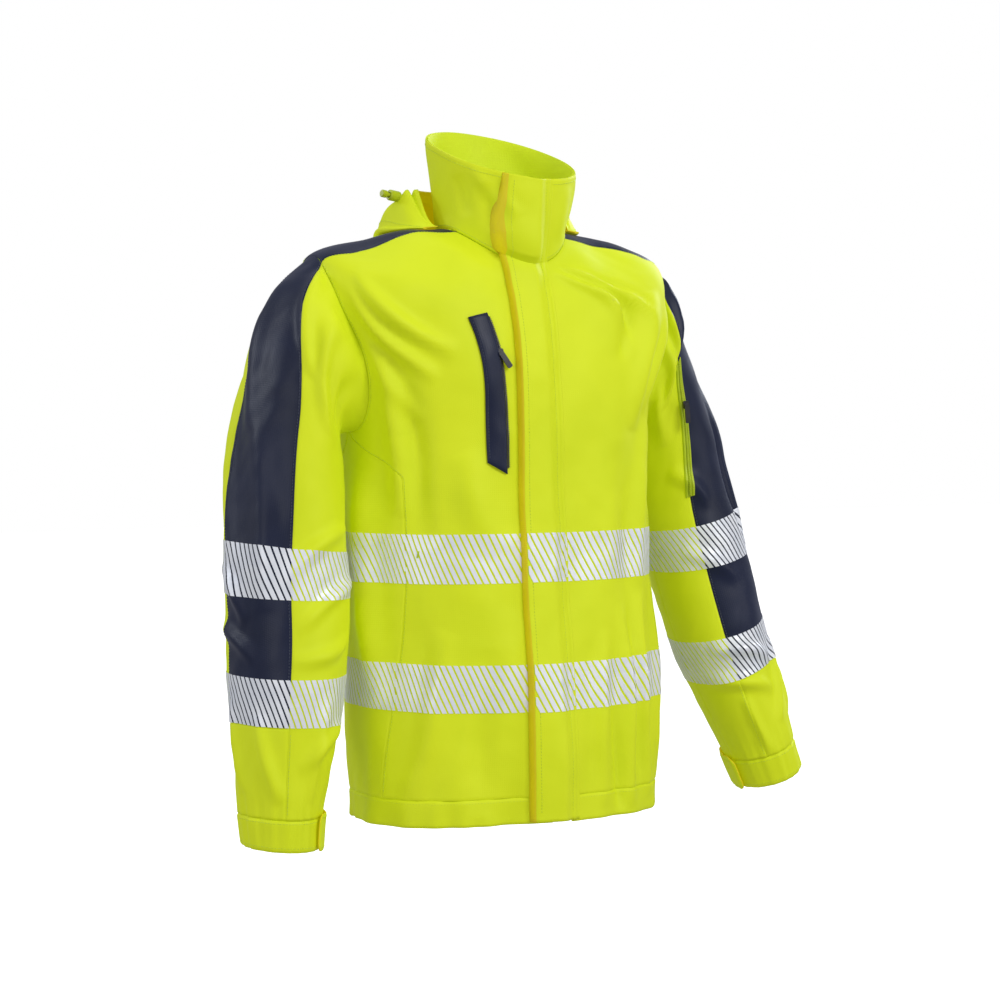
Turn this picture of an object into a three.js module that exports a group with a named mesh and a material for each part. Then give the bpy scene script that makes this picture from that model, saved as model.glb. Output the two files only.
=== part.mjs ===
// Hooded high-visibility shell jacket, held up by its hanger loop.
// Garment coordinates in millimetres: +X is the wearer's left, -Y the front, +Z up, hem near z = 0.
// The whole group is shifted at the end so that the hanger loop is the origin.
import * as THREE from 'three';

const HANGER = new THREE.Vector3(0, 56, 649);   // middle of the hanger loop

// Layers, measured outwards from the garment surface.
const CLOTH = [-1.8, 0];                        // inner and outer face of every cloth panel
const TAPE = [1.6, 2.2];                        // reflective tape on the cloth
const FLAP = [7.0, 8.4];                        // storm flap, clear of the main slider under it
const FLAP_TAPE = [8.8, 9.3];                   // tape on the storm flap
const SEAM = 0.012;                             // half of a seam gap, in radians or stations

// Body sections from the hem to the neck seam:
// station, half width, middle y, front y, back y, side z, front z, back z, squareness.
const BODY = [
  [0.00, 177, -4, -131, 102, -2, 0, -12, 2.4],
  [0.23, 177, 2, -127, 110, 150, 147, 150, 2.4],
  [0.45, 178, 12, -113, 126, 300, 300, 300, 2.4],
  [0.62, 178, 22, -104, 134, 420, 415, 420, 2.4],
  [0.74, 196, 32, -98, 138, 505, 480, 500, 2.5],
  [0.82, 217, 38, -90, 134, 572, 525, 560, 2.5],
  [0.87, 213, 40, -83, 126, 611, 556, 594, 2.4],
  [0.93, 150, 26, -76, 106, 633, 580, 624, 2.2],
  [1.00, 72, 0, -69, 72, 643, 603, 648, 2.0],
];
// Collar sections from the neck seam to the rim, in the same columns.
const COLLAR = [
  [0.00, 72, 0, -69, 72, 643, 603, 648, 2.0],
  [0.50, 77, 0, -76, 77, 685, 650, 702, 2.0],
  [1.00, 84, -2, -82, 82, 726, 696, 756, 2.0],
];
const RIM_TILT = 5;                             // how much lower the rim is on the wearer's left
// Sleeve sections from the armhole to the cuff:
// station, centre x, y, z, outward radius, fore-and-aft radius, tilt of the section in degrees.
const SLEEVE = {
  right: [
    [0.00, -204, 36, 515, 90, 60, 76],
    [0.10, -219, 37, 503, 89, 74, 75],
    [0.22, -235, 38, 467, 72, 77, 58],
    [0.35, -246, 33, 405, 61, 76, 31],
    [0.45, -252, 26, 335, 60, 76, 11],
    [0.55, -257, 17, 267, 64, 75, 3],
    [0.654, -259, 8, 200, 64, 72, 1],
    [0.759, -266, -2, 133.5, 60, 66, 1],
    [0.88, -275, -13, 56, 49, 55, 2],
    [1.00, -281, -22, -19, 40, 46, 3],
  ],
  left: [
    [0.00, 204, 40, 515, 88, 60, 76],
    [0.10, 206, 42, 503, 87, 74, 75],
    [0.22, 219, 48, 470, 68, 77, 60],
    [0.35, 243, 52, 415, 58, 76, 38],
    [0.45, 259, 46, 350, 56, 75, 20],
    [0.55, 276, 32, 288, 58, 72, 14],
    [0.654, 290, 18, 224, 57, 68, 16],
    [0.759, 305, 4, 162, 53, 61, 20],
    [0.88, 329, -9, 88, 45, 53, 23],
    [1.00, 353, -21, 15, 38, 45, 23],
  ],
};
const FORWARD_LEAN = 0.15;                       // how far a sleeve section leans with its sleeve
const SLEEVE_CAP = 0.14;                        // station where the sleeve has left the armhole

// Armhole outline on the body surface: station and half height, half width in degrees.
const ARMHOLE = { station: 0.745, half: 0.125, spread: 22 };

// Stations and angles of the seams and bands.
const HEM_TOP = 0.045;
const HEM_GAP = 0.001;
const SIDE_TOP = 0.612;
const BACK_SEAM = 112;                          // degrees from the front, body
const BODY_TAPES = { upper: [0.391, 0.467], lower: [0.190, 0.266] };
const ELBOW = [0.604, 0.704];                   // the stretch of sleeve that folds
const SLEEVE_TAPES = { upper: [0.503, 0.582], lower: [0.712, 0.791] };
const CUFF_TOP = 0.945;
const ZIP_EDGE = 11;                            // half width between the front panels
const FLAP_FREE = -36;                          // x of the storm flap's free edge
const FLAP_SEWN = 17;                           // x of the storm flap's sewn edge

// Cuff tabs, in degrees round the cuff: sewn edge, then free edge.
const CUFF_TAB = { right: [-104, -30], left: [-146, -80] };
// Where the navy outer panel of each sleeve starts and ends: degrees low on the sleeve, how much
// further round it is higher up, how much more in the sleeve's cap, and the stations it turns over.
const NAVY_EDGES = {
  right: { front: [24, 42, 0], back: [104, 10, 0], turn: [0, 0.33] },
  left: { front: [-28, 76, 25], back: [70, 44, 9], turn: [-0.25, 0.6] },
};
const NAVY_CAP = 0.13;                          // station where the cap's extra turn has ended
// Shoulder strip beside the neck, in degrees from the side: how far it reaches at the armhole, in
// front on each side and behind, and the stations over which it spreads.
const YOKE = { start: 9, front: { right: 18, left: 27 }, back: 26, turn: [0.862, 0.895] };
// Folded hood: degrees from the front to its two ends and over which it rises, the stations of its
// neck and lip at the ends, how much lower each lies at the back, how much lower still the lip hangs
// at the middle of the back, and its heights.
const HOOD = {
  ends: 84, rise: 26, neck: 0.992, neckDrop: 0.01, lip: 0.98, lipDrop: 0.06, tipDrop: 0.075,
  lipHeight: 8, height: 33,
};

const COLOURS = {
  yellow: 0xcbe01c,
  yellow_inside: 0xbccf22,
  navy: 0x232b45,
  tape: 0xd9dde6,
  black: 0x15161a,
  zip_yellow: 0xb9cf1f,
};

const radians = THREE.MathUtils.degToRad;
const group = new THREE.Group();
group.position.copy(HANGER).negate();

// Smooth curve through rows keyed by their first column.
function section(rows, station) {
  const last = rows.length - 2;
  let k = rows.findIndex((row, i) => i <= last && station < rows[i + 1][0]);
  if (k < 0) k = last;
  const span = rows[k + 1][0] - rows[k][0];
  const t = (station - rows[k][0]) / span;
  const slope = (i, c) => {
    const low = Math.max(i - 1, 0);
    const high = Math.min(i + 1, rows.length - 1);
    const step = (a, b) => (rows[b][c] - rows[a][c]) / (rows[b][0] - rows[a][0]);
    if (low === i || high === i) return step(low, high);
    const before = rows[i][0] - rows[low][0];
    const after = rows[high][0] - rows[i][0];
    return (step(low, i) * after + step(i, high) * before) / (before + after);
  };
  return rows[k].slice(1).map((value, i) => {
    const c = i + 1;
    const rise = rows[k + 1][c];
    const t2 = t * t;
    const t3 = t2 * t;
    return (2 * t3 - 3 * t2 + 1) * value + (t3 - 2 * t2 + t) * span * slope(k, c)
      + (3 * t2 - 2 * t3) * rise + (t3 - t2) * span * slope(k + 1, c);
  });
}

// Point of a ring at an angle in radians: 0 is the front, +90 degrees the wearer's left.
function ringPoint(rows, angle, station) {
  const [half, mid, front, back, sideZ, frontZ, backZ, square] = section(rows, station);
  const c = Math.cos(angle);
  const s = Math.sin(angle);
  const x = half * Math.sign(s) * Math.abs(s) ** (2 / square);
  const reach = Math.abs(c) ** (2 / square);
  const y = mid + ((c > 0 ? front : back) - mid) * reach;
  const even = rows === COLLAR ? THREE.MathUtils.smoothstep(station, 0, 0.6) : 0;
  const z = sideZ + ((c > 0 ? frontZ : backZ) - sideZ) * (c * c + even * (Math.abs(c) - c * c));
  return new THREE.Vector3(x, y, z - even * RIM_TILT * s * station);
}

const bodyPoint = (angle, station) => ringPoint(BODY, angle, station);
const collarPoint = (angle, station) => ringPoint(COLLAR, angle, station);

// Angle at which a ring of the body or collar reaches a given x near its front.
function frontAngle(rows, x, station) {
  const [half, , , , , , , square] = section(rows, station);
  return Math.sign(x) * Math.asin((Math.abs(x) / half) ** (square / 2));
}

// Half width of the armhole in radians at a station, grown by a small allowance.
function armholeSpread(station, grow = 0) {
  const q = (station - ARMHOLE.station) / (ARMHOLE.half + grow / 4);
  return Math.abs(q) < 1 ? (radians(ARMHOLE.spread) + grow) * Math.sqrt(1 - q * q) : 0;
}

// Point of a sleeve at an angle: 0 is forward, 90 degrees outward or up, 180 backward.
function sleevePoint(side, angle, station) {
  const sign = side === 'left' ? 1 : -1;
  const rows = SLEEVE[side];
  const [x, y, z, out, fore, tiltDegrees] = section(rows, station);
  const tilt = radians(tiltDegrees);
  const ahead = section(rows, Math.min(station + 0.01, 1));
  const behind = section(rows, Math.max(station - 0.01, 0));
  const settle = THREE.MathUtils.clamp((station - 0.1) / 0.3, 0, 1);
  const lean = FORWARD_LEAN * settle * Math.atan2(ahead[1] - behind[1], Math.abs(ahead[2] - behind[2]));
  const outward = new THREE.Vector3(sign * Math.cos(tilt), 0, Math.sin(tilt));
  const forward = new THREE.Vector3(0, -Math.cos(lean), Math.sin(lean));
  const tube = new THREE.Vector3(x, y, z)
    .addScaledVector(forward, fore * Math.cos(angle))
    .addScaledVector(outward, out * Math.sin(angle));
  const hole = bodyPoint(
    sign * (Math.PI / 2 - radians(ARMHOLE.spread) * Math.cos(angle)),
    ARMHOLE.station + ARMHOLE.half * Math.sin(angle),
  );
  return hole.lerp(tube, THREE.MathUtils.smoothstep(station, 0, SLEEVE_CAP));
}

// Lift a surface point along its outward normal.
function lifted(surface, centre, u, v, lift) {
  const step = 1e-3;
  const across = surface(u + step, v).sub(surface(u - step, v));
  const along = surface(u, v + step).sub(surface(u, v - step));
  const normal = across.cross(along).normalize();
  const point = surface(u, v);
  if (normal.dot(point.clone().sub(centre(v))) < 0) normal.negate();
  return point.addScaledVector(normal, lift);
}

const bodyCentre = (station) => {
  const [, mid, , , sideZ] = section(BODY, station);
  return new THREE.Vector3(0, mid, Math.min(sideZ, 560));
};
const collarCentre = (station) => new THREE.Vector3(0, 0, section(COLLAR, station)[4]);
const sleeveCentre = (side) => (station) => new THREE.Vector3(...section(SLEEVE[side], station));

function addMesh(name, geometry, colour, roughness = 0.75, metalness = 0) {
  const material = new THREE.MeshStandardMaterial({ color: COLOURS[colour], roughness, metalness });
  const mesh = new THREE.Mesh(geometry, material);
  mesh.name = name;
  group.add(mesh);
  return mesh;
}

// Closed solid between two layers of points, each layers[k][row][column].
// With closed rings the columns join up; otherwise the ends get side walls.
function solidFromLayers(layers, ring) {
  const rows = layers[0].length;
  const columns = layers[0][0].length;
  const positions = layers.flat(2).flatMap((p) => p.toArray());
  const at = (k, i, j) => k * rows * columns + i * columns + (j % columns);
  const index = [];
  const quad = (a, b, c, d) => index.push(a, b, c, a, c, d);
  const steps = ring ? columns : columns - 1;
  for (let i = 0; i < rows - 1; i += 1) {
    for (let j = 0; j < steps; j += 1) {
      quad(at(1, i, j), at(1, i, j + 1), at(1, i + 1, j + 1), at(1, i + 1, j));
      quad(at(0, i, j), at(0, i + 1, j), at(0, i + 1, j + 1), at(0, i, j + 1));
    }
    if (!ring) {
      quad(at(0, i, 0), at(1, i, 0), at(1, i + 1, 0), at(0, i + 1, 0));
      quad(at(0, i + 1, steps), at(1, i + 1, steps), at(1, i, steps), at(0, i, steps));
    }
  }
  for (let j = 0; j < steps; j += 1) {
    quad(at(0, 0, j), at(0, 0, j + 1), at(1, 0, j + 1), at(1, 0, j));
    quad(at(0, rows - 1, j), at(1, rows - 1, j), at(1, rows - 1, j + 1), at(0, rows - 1, j + 1));
  }
  return outwardGeometry(positions, index);
}

// Geometry whose faces point out, whichever way its layers ran.
function outwardGeometry(positions, index) {
  const corner = (i) => new THREE.Vector3().fromArray(positions, 3 * i);
  let volume = 0;
  for (let i = 0; i < index.length; i += 3) {
    volume += corner(index[i]).dot(corner(index[i + 1]).cross(corner(index[i + 2])));
  }
  const faces = volume < 0 ? index.slice().reverse() : index;
  const geometry = new THREE.BufferGeometry();
  geometry.setAttribute('position', new THREE.Float32BufferAttribute(positions, 3));
  geometry.setIndex(faces);
  geometry.computeVertexNormals();
  return geometry;
}

function stations(from, to, count) {
  return Array.from({ length: count + 1 }, (_, i) => from + (i * (to - from)) / count);
}

// Cloth patch: at each station it runs between two angles.
function patch({ name, colour, surface, centre, at, angles, columns, lifts, ring = false }) {
  const layers = lifts.map((lift) => at.map((station) => {
    const [from, to] = angles(station);
    const count = ring ? columns : columns + 1;
    return Array.from({ length: count }, (_, j) => (
      lifted(surface, centre, from + (j * (to - from)) / columns, station, lift)
    ));
  }));
  return addMesh(name, solidFromLayers(layers, ring), colour);
}

const bodyPatch = (options) => patch({ surface: bodyPoint, centre: bodyCentre, ...options });
const collarPatch = (options) => patch({ surface: collarPoint, centre: collarCentre, ...options });
const sleevePatch = (side, options) => patch({
  surface: (angle, station) => sleevePoint(side, angle, station),
  centre: sleeveCentre(side),
  ...options,
});

// Front edge of a side panel: the curved seam in front of the side.
function sideSeam(station) {
  return radians(75 - 17 * THREE.MathUtils.smoothstep(station, 0, 0.45));
}

// Front and back edges of the navy shoulder strip beside the neck.
function yokeReach(station, reach) {
  return radians(YOKE.start + (reach - YOKE.start) * THREE.MathUtils.smoothstep(station, ...YOKE.turn));
}
const yokeFront = (side, station) => Math.PI / 2 - yokeReach(station, YOKE.front[side]);
const yokeBack = (station) => Math.PI / 2 + yokeReach(station, YOKE.back);

const TORSO_STATIONS = [
  ...stations(HEM_TOP + HEM_GAP, SIDE_TOP, 7), 0.624, 0.65, 0.7, 0.745, 0.79, 0.83, 0.858, 0.868, 0.876,
  ...stations(0.9, 0.994, 3),
];

function addTorso() {
  for (const [side, sign] of [['right', -1], ['left', 1]]) {
    const outerEdge = (station) => {
      if (station <= SIDE_TOP) return sideSeam(station) - SEAM;
      if (station < 0.871) return Math.PI / 2 - armholeSpread(station, 0.02);
      return yokeFront(side, station) - SEAM;
    };
    bodyPatch({
      name: `front_panel_${side}`,
      colour: 'yellow',
      at: TORSO_STATIONS,
      angles: (station) => [
        sign * Math.abs(frontAngle(BODY, ZIP_EDGE, station)),
        sign * outerEdge(station),
      ],
      columns: 6,
      lifts: CLOTH,
    });
    bodyPatch({
      name: `side_panel_${side}`,
      colour: 'yellow',
      at: stations(HEM_TOP + HEM_GAP, SIDE_TOP, 7),
      angles: (station) => [sign * (sideSeam(station) + SEAM), sign * (radians(BACK_SEAM) - SEAM)],
      columns: 4,
      lifts: CLOTH,
    });
    bodyPatch({
      name: `shoulder_yoke_${side}`,
      colour: 'navy',
      at: stations(0.878, 0.994, 4),
      angles: (station) => [sign * (yokeFront(side, station) + SEAM), sign * (yokeBack(station) - SEAM)],
      columns: 3,
      lifts: CLOTH,
    });
  }
  const backEdge = (station) => {
    if (station <= SIDE_TOP) return radians(BACK_SEAM) + SEAM;
    if (station < 0.871) return Math.PI / 2 + armholeSpread(station, 0.02);
    return yokeBack(station) + SEAM;
  };
  bodyPatch({
    name: 'back_panel',
    colour: 'yellow',
    at: TORSO_STATIONS,
    angles: (station) => [backEdge(station), 2 * Math.PI - backEdge(station)],
    columns: 12,
    lifts: CLOTH,
  });
  const opening = (station) => frontAngle(BODY, ZIP_EDGE, station);
  bodyPatch({
    name: 'hem_band',
    colour: 'yellow',
    at: stations(0, HEM_TOP - HEM_GAP, 2),
    angles: (station) => [opening(station), 2 * Math.PI - opening(station)],
    columns: 32,
    lifts: CLOTH,
  });
}

function addBodyTapes() {
  for (const [level, [low, high]] of Object.entries(BODY_TAPES)) {
    const shared = { colour: 'tape', at: stations(low, high, 2), lifts: TAPE };
    for (const [side, sign] of [['right', -1], ['left', 1]]) {
      bodyPatch({
        name: `tape_${level}_front_${side}`,
        angles: (station) => [
          sign * Math.abs(frontAngle(BODY, ZIP_EDGE + 1, station)),
          sign * (sideSeam(station) - SEAM),
        ],
        columns: 9,
        ...shared,
      });
    }
    bodyPatch({
      name: `tape_${level}_back`,
      angles: (station) => [sideSeam(station) + SEAM, 2 * Math.PI - sideSeam(station) - SEAM],
      columns: 24,
      ...shared,
    });
  }
}

function addCollar() {
  const opening = (station) => frontAngle(COLLAR, ZIP_EDGE - 2, station);
  const angles = (station) => [opening(station), 2 * Math.PI - opening(station)];
  const shared = { angles, columns: 28 };
  const at = stations(0.02, 1, 3);
  collarPatch({ name: 'collar_outer', colour: 'yellow', at, lifts: CLOTH, ...shared });
  collarPatch({
    name: 'collar_lining',
    colour: 'yellow_inside',
    at: stations(0.05, 0.985, 3),
    lifts: [-3.4, -2.2],
    ...shared,
  });
}

// Front edge strip surface shared by the storm flap and the zip, across x and up the front.
function frontStripPoint(x, travel) {
  const rows = travel < 1 ? BODY : COLLAR;
  const station = travel < 1 ? travel : travel - 1;
  return ringPoint(rows, frontAngle(rows, x, station), station);
}

function frontStrip(name, colour, edges, at, lifts, columns) {
  const layers = lifts.map((lift) => at.map((travel) => {
    const step = 0.004;
    return Array.from({ length: columns + 1 }, (_, j) => {
      const x = edges[0] + (j * (edges[1] - edges[0])) / columns;
      const point = frontStripPoint(x, travel);
      const below = frontStripPoint(x, Math.max(travel - step, 0));
      const up = frontStripPoint(x, Math.min(travel + step, 2)).sub(below);
      const normal = new THREE.Vector3(0, -up.z, up.y).normalize();
      return point.addScaledVector(normal, lift);
    });
  }));
  return addMesh(name, solidFromLayers(layers, false), colour);
}

const FRONT_STATIONS = [0.005, ...stations(0.08, 0.9, 8), 0.95, 0.985, 1.04, 1.25, 1.5, 1.75, 1.99];

function addFrontClosure() {
  frontStrip('storm_flap', 'yellow', [FLAP_FREE, FLAP_SEWN], FRONT_STATIONS, FLAP, 4);
  frontStrip('main_zip_tape_right', 'yellow', [-8.4, -3.2], FRONT_STATIONS, [-1.6, -0.6], 1);
  frontStrip('main_zip_tape_left', 'yellow', [3.2, 8.4], FRONT_STATIONS, [-1.6, -0.6], 1);
  frontStrip('main_zip_chain', 'zip_yellow', [-2.7, 2.7], FRONT_STATIONS, [-2.2, 0.6], 1);
  for (const [level, [low, high]] of Object.entries(BODY_TAPES)) {
    const edges = [FLAP_FREE + 0.5, FLAP_SEWN - 0.5];
    frontStrip(`tape_${level}_flap`, 'tape', edges, stations(low, high, 2), FLAP_TAPE, 4);
  }
}

// Angle at a station of the front or back edge of a sleeve's navy outer panel.
const navyEdge = (side, edge) => (station) => {
  const { [edge]: [low, further, cap], turn } = NAVY_EDGES[side];
  const turned = 1 - THREE.MathUtils.smoothstep(station, ...turn);
  const capped = 1 - THREE.MathUtils.smoothstep(station, 0, NAVY_CAP);
  return radians(low + further * turned + cap * capped);
};
const UNDERARM = radians(270);

function addSleeve(side) {
  const upper = [...stations(0.012, 0.13, 5), ...stations(0.18, ELBOW[0] - 0.004, 8)];
  const lower = stations(ELBOW[1] + 0.004, CUFF_TOP - 0.004, 5);
  const forward = UNDERARM - 2 * Math.PI;
  const seam = 2 * SEAM;
  const navyFront = navyEdge(side, 'front');
  const navyBack = navyEdge(side, 'back');
  const panels = [
    [`sleeve_front_${side}`, 'yellow', (s) => [forward + seam, navyFront(s) - seam], 6],
    [`sleeve_outer_${side}`, 'navy', (s) => [navyFront(s), navyBack(s)], 5],
    [`sleeve_back_${side}`, 'yellow', (s) => [navyBack(s) + seam, UNDERARM - seam / 2], 7],
  ];
  for (const [name, colour, angles, columns] of panels) {
    sleevePatch(side, { name, colour, at: upper, angles, columns, lifts: CLOTH });
  }
  const around = () => [forward, forward + 2 * Math.PI];
  const ring = { angles: around, ring: true, columns: 20 };
  const fold = stations(...ELBOW, 2);
  sleevePatch(side, { name: `elbow_fold_${side}`, colour: 'navy', at: fold, lifts: CLOTH, ...ring });
  const halves = [
    [`forearm_front_${side}`, (s) => [forward + seam, navyFront(s) - seam], 7],
    [`forearm_back_${side}`, (s) => [navyFront(s), UNDERARM - seam / 2], 10],
  ];
  for (const [name, angles, columns] of halves) {
    sleevePatch(side, { name, colour: 'yellow', at: lower, angles, columns, lifts: CLOTH });
  }
  for (const [level, [low, high]] of Object.entries(SLEEVE_TAPES)) {
    const at = stations(low, high, 2);
    sleevePatch(side, { name: `tape_${level}_sleeve_${side}`, colour: 'tape', at, lifts: TAPE, ...ring });
  }
  const band = stations(CUFF_TOP, 1, 1);
  sleevePatch(side, { name: `cuff_band_${side}`, colour: 'yellow', at: band, lifts: CLOTH, ...ring });
  sleevePatch(side, {
    name: `cuff_tab_${side}`,
    colour: 'yellow',
    at: stations(0.94, 0.997, 1),
    angles: () => CUFF_TAB[side].map(radians),
    columns: 6,
    lifts: [2.2, 4.0],
  });
}

// Flat plate with rounded corners, in its own x and z, thick along y.
function plate(width, height, thickness, radius) {
  const shape = new THREE.Shape();
  const w = width / 2;
  const h = height / 2;
  shape.moveTo(-w + radius, -h);
  shape.lineTo(w - radius, -h);
  shape.absarc(w - radius, -h + radius, radius, -Math.PI / 2, 0);
  shape.lineTo(w, h - radius);
  shape.absarc(w - radius, h - radius, radius, 0, Math.PI / 2);
  shape.lineTo(-w + radius, h);
  shape.absarc(-w + radius, h - radius, radius, Math.PI / 2, Math.PI);
  shape.lineTo(-w, -h + radius);
  shape.absarc(-w + radius, -h + radius, radius, Math.PI, 1.5 * Math.PI);
  const options = { depth: thickness, bevelEnabled: false, curveSegments: 3 };
  const geometry = new THREE.ExtrudeGeometry(shape, options);
  return geometry.translate(0, 0, -thickness / 2).rotateX(Math.PI / 2);
}

// Place a piece made about the origin: its z along up and its -y along out.
function place(mesh, point, up, out) {
  const z = up.clone().normalize();
  const y = out.clone().addScaledVector(z, -out.dot(z)).normalize().negate();
  const x = y.clone().cross(z);
  mesh.matrixAutoUpdate = false;
  mesh.matrix.makeBasis(x, y, z).setPosition(point);
  return mesh;
}

// Zip pockets and the main slider: each a straight line between two ends, and the way it faces.
const MAIN_ZIP = {
  top: new THREE.Vector3(0, -80.4, 683),
  bottom: new THREE.Vector3(0, -69.6, 609),
  out: new THREE.Vector3(0, -1, 0),
};
const CHEST_ZIP = {
  top: lifted(bodyPoint, bodyCentre, -0.19, 0.832, 5.5),
  bottom: lifted(bodyPoint, bodyCentre, -0.22, 0.578, 5.5),
  out: new THREE.Vector3(-0.12, -1, 0.1),
};
const leftSleevePoint = (angle, station) => sleevePoint('left', angle, station);
const SLEEVE_ZIP = {
  top: lifted(leftSleevePoint, sleeveCentre('left'), radians(9), 0.18, 5),
  bottom: lifted(leftSleevePoint, sleeveCentre('left'), radians(-20), 0.44, 5),
  out: new THREE.Vector3(-0.1, -1, 0.1),
};
const along = (line) => line.top.clone().sub(line.bottom).normalize();

function outOf(line) {
  const up = along(line);
  return line.out.clone().addScaledVector(up, -line.out.dot(up)).normalize();
}

// Point on a zip line: a distance down from its top, sideways and outwards.
function onZip(line, down, sideways, outwards) {
  const up = along(line);
  const out = outOf(line);
  const side = up.clone().cross(out);
  return line.top.clone()
    .addScaledVector(up, -down)
    .addScaledVector(side, sideways)
    .addScaledVector(out, outwards);
}

// Slider at a distance down a zip line, with its pull hanging from a cross bar at a slant in degrees.
function addSlider(prefix, line, down, { pull: pullLength, slant = 0, lift }) {
  const slider = addMesh(`${prefix}_slider`, plate(7, 9, 2.4, 1.2), 'black', 0.4, 0.3);
  place(slider, onZip(line, down, 0, lift + 1.2), along(line), outOf(line));
  const hang = along(line).applyAxisAngle(outOf(line), radians(slant));
  const pull = addMesh(`${prefix}_pull`, plate(6, pullLength, 1.4, 1.5), 'black', 0.6);
  const middle = onZip(line, down, 0, lift + 3.9).addScaledVector(hang, 1 - pullLength / 2);
  place(pull, middle, hang, outOf(line));
}

function addZips() {
  addSlider('main_zip', MAIN_ZIP, 3, { pull: 20, lift: 1.5 });
  const chest = CHEST_ZIP.top.distanceTo(CHEST_ZIP.bottom);
  const welt = addMesh('chest_pocket_welt', plate(20, chest + 16, 1.4, 2), 'navy');
  place(welt, onZip(CHEST_ZIP, chest / 2, -12.6, 0), along(CHEST_ZIP), outOf(CHEST_ZIP));
  const chain = addMesh('chest_zip_chain', plate(4.6, chest, 1.0, 1), 'black', 0.4, 0.3);
  place(chain, onZip(CHEST_ZIP, chest / 2, 0, 0), along(CHEST_ZIP), outOf(CHEST_ZIP));
  addSlider('chest_zip', CHEST_ZIP, 30, { pull: 20, slant: 30, lift: 0.9 });
  bodyPatch({
    name: 'chest_pocket_bag',
    colour: 'yellow_inside',
    at: stations(0.54, 0.84, 5),
    angles: () => [-0.16, -0.72],
    columns: 5,
    lifts: [-7.2, -6.2],
  });
  const sleeve = SLEEVE_ZIP.top.distanceTo(SLEEVE_ZIP.bottom);
  const sleeveWelt = addMesh('sleeve_pocket_welt', plate(12, sleeve + 10, 1.2, 1.5), 'zip_yellow');
  place(sleeveWelt, onZip(SLEEVE_ZIP, sleeve / 2, 0, 0), along(SLEEVE_ZIP), outOf(SLEEVE_ZIP));
  addSlider('sleeve_zip', SLEEVE_ZIP, 46, { pull: 22, lift: 1.2 });
}

// Hood folded down round the back of the collar: it lies on the shoulders and upper back.
function addHood() {
  const start = radians(HOOD.ends);
  const half = (angle) => Math.sin(angle / 2) ** 2;
  const fullness = (angle) => Math.max(half(angle) - half(start), 0) / (1 - half(start));
  const fromEnd = (angle) => Math.min(angle, 2 * Math.PI - angle) - start;
  const at = (angle, v, k) => {
    const neck = HOOD.neck - HOOD.neckDrop * Math.sqrt(fullness(angle));
    const lip = HOOD.lip - HOOD.lipDrop * fullness(angle) - HOOD.tipDrop * fullness(angle) ** 10;
    const station = neck + v * (lip - neck);
    const point = lifted(bodyPoint, bodyCentre, angle, station, 4);
    const rise = THREE.MathUtils.smoothstep(fromEnd(angle), 0, radians(HOOD.rise));
    point.z += k * (HOOD.lipHeight / 2 + rise * (HOOD.lipHeight / 2 + HOOD.height * (1 - v * v)));
    return point;
  };
  const angles = stations(start, 2 * Math.PI - start, 18);
  const layers = [0, 1].map((k) => stations(0, 1, 4).map((v) => angles.map((angle) => at(angle, v, k))));
  addMesh('hood_folded', solidFromLayers(layers, false), 'yellow');
}

// Drawcord lock at the wearer's right end of the hood: a barrel and its sprung button.
const LOCK = { centre: new THREE.Vector3(-112, 42, 680), axis: new THREE.Vector3(-0.93, -0.2, 0.12) };

function addCordLock() {
  const barrelProfile = [[0, -9], [4.5, -9], [6, -7.5], [6, 5], [4.8, 6.5], [3.2, 6.5], [3.2, -2], [0, -2]];
  const buttonProfile = [[0, -7], [2.6, -7], [2.6, 0], [4.2, 0], [4.2, 5], [3.2, 6], [0, 6]];
  const turned = (profile) => new THREE.LatheGeometry(profile.map(([r, y]) => new THREE.Vector2(r, y)), 16);
  const axis = LOCK.axis.clone().normalize();
  const turn = new THREE.Quaternion().setFromUnitVectors(new THREE.Vector3(0, 1, 0), axis);
  const barrel = addMesh('cord_lock_barrel', turned(barrelProfile), 'zip_yellow', 0.45);
  barrel.position.copy(LOCK.centre);
  barrel.quaternion.copy(turn);
  const button = addMesh('cord_lock_button', turned(buttonProfile), 'zip_yellow', 0.45);
  button.position.copy(LOCK.centre).addScaledVector(axis, 6.5 + 4.3);
  button.quaternion.copy(turn);
}

// Hanger loop: a short strap bowed away from the inside of the neck.
function addHangerLoop() {
  const route = new THREE.CatmullRomCurve3([
    new THREE.Vector3(-30, 58, 641),
    new THREE.Vector3(-16, 57, 647),
    new THREE.Vector3(0, 56, 649),
    new THREE.Vector3(16, 57, 647),
    new THREE.Vector3(30, 58, 641),
  ]);
  const strap = new THREE.Shape([
    new THREE.Vector2(-3.5, -0.7),
    new THREE.Vector2(3.5, -0.7),
    new THREE.Vector2(3.5, 0.7),
    new THREE.Vector2(-3.5, 0.7),
  ]);
  const geometry = new THREE.ExtrudeGeometry(strap, { steps: 16, extrudePath: route, bevelEnabled: false });
  addMesh('hanger_loop', geometry, 'navy');
}

addTorso();
addBodyTapes();
addCollar();
addFrontClosure();
addSleeve('right');
addSleeve('left');
addZips();
addHood();
addCordLock();
addHangerLoop();

export default group;
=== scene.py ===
import math

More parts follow.
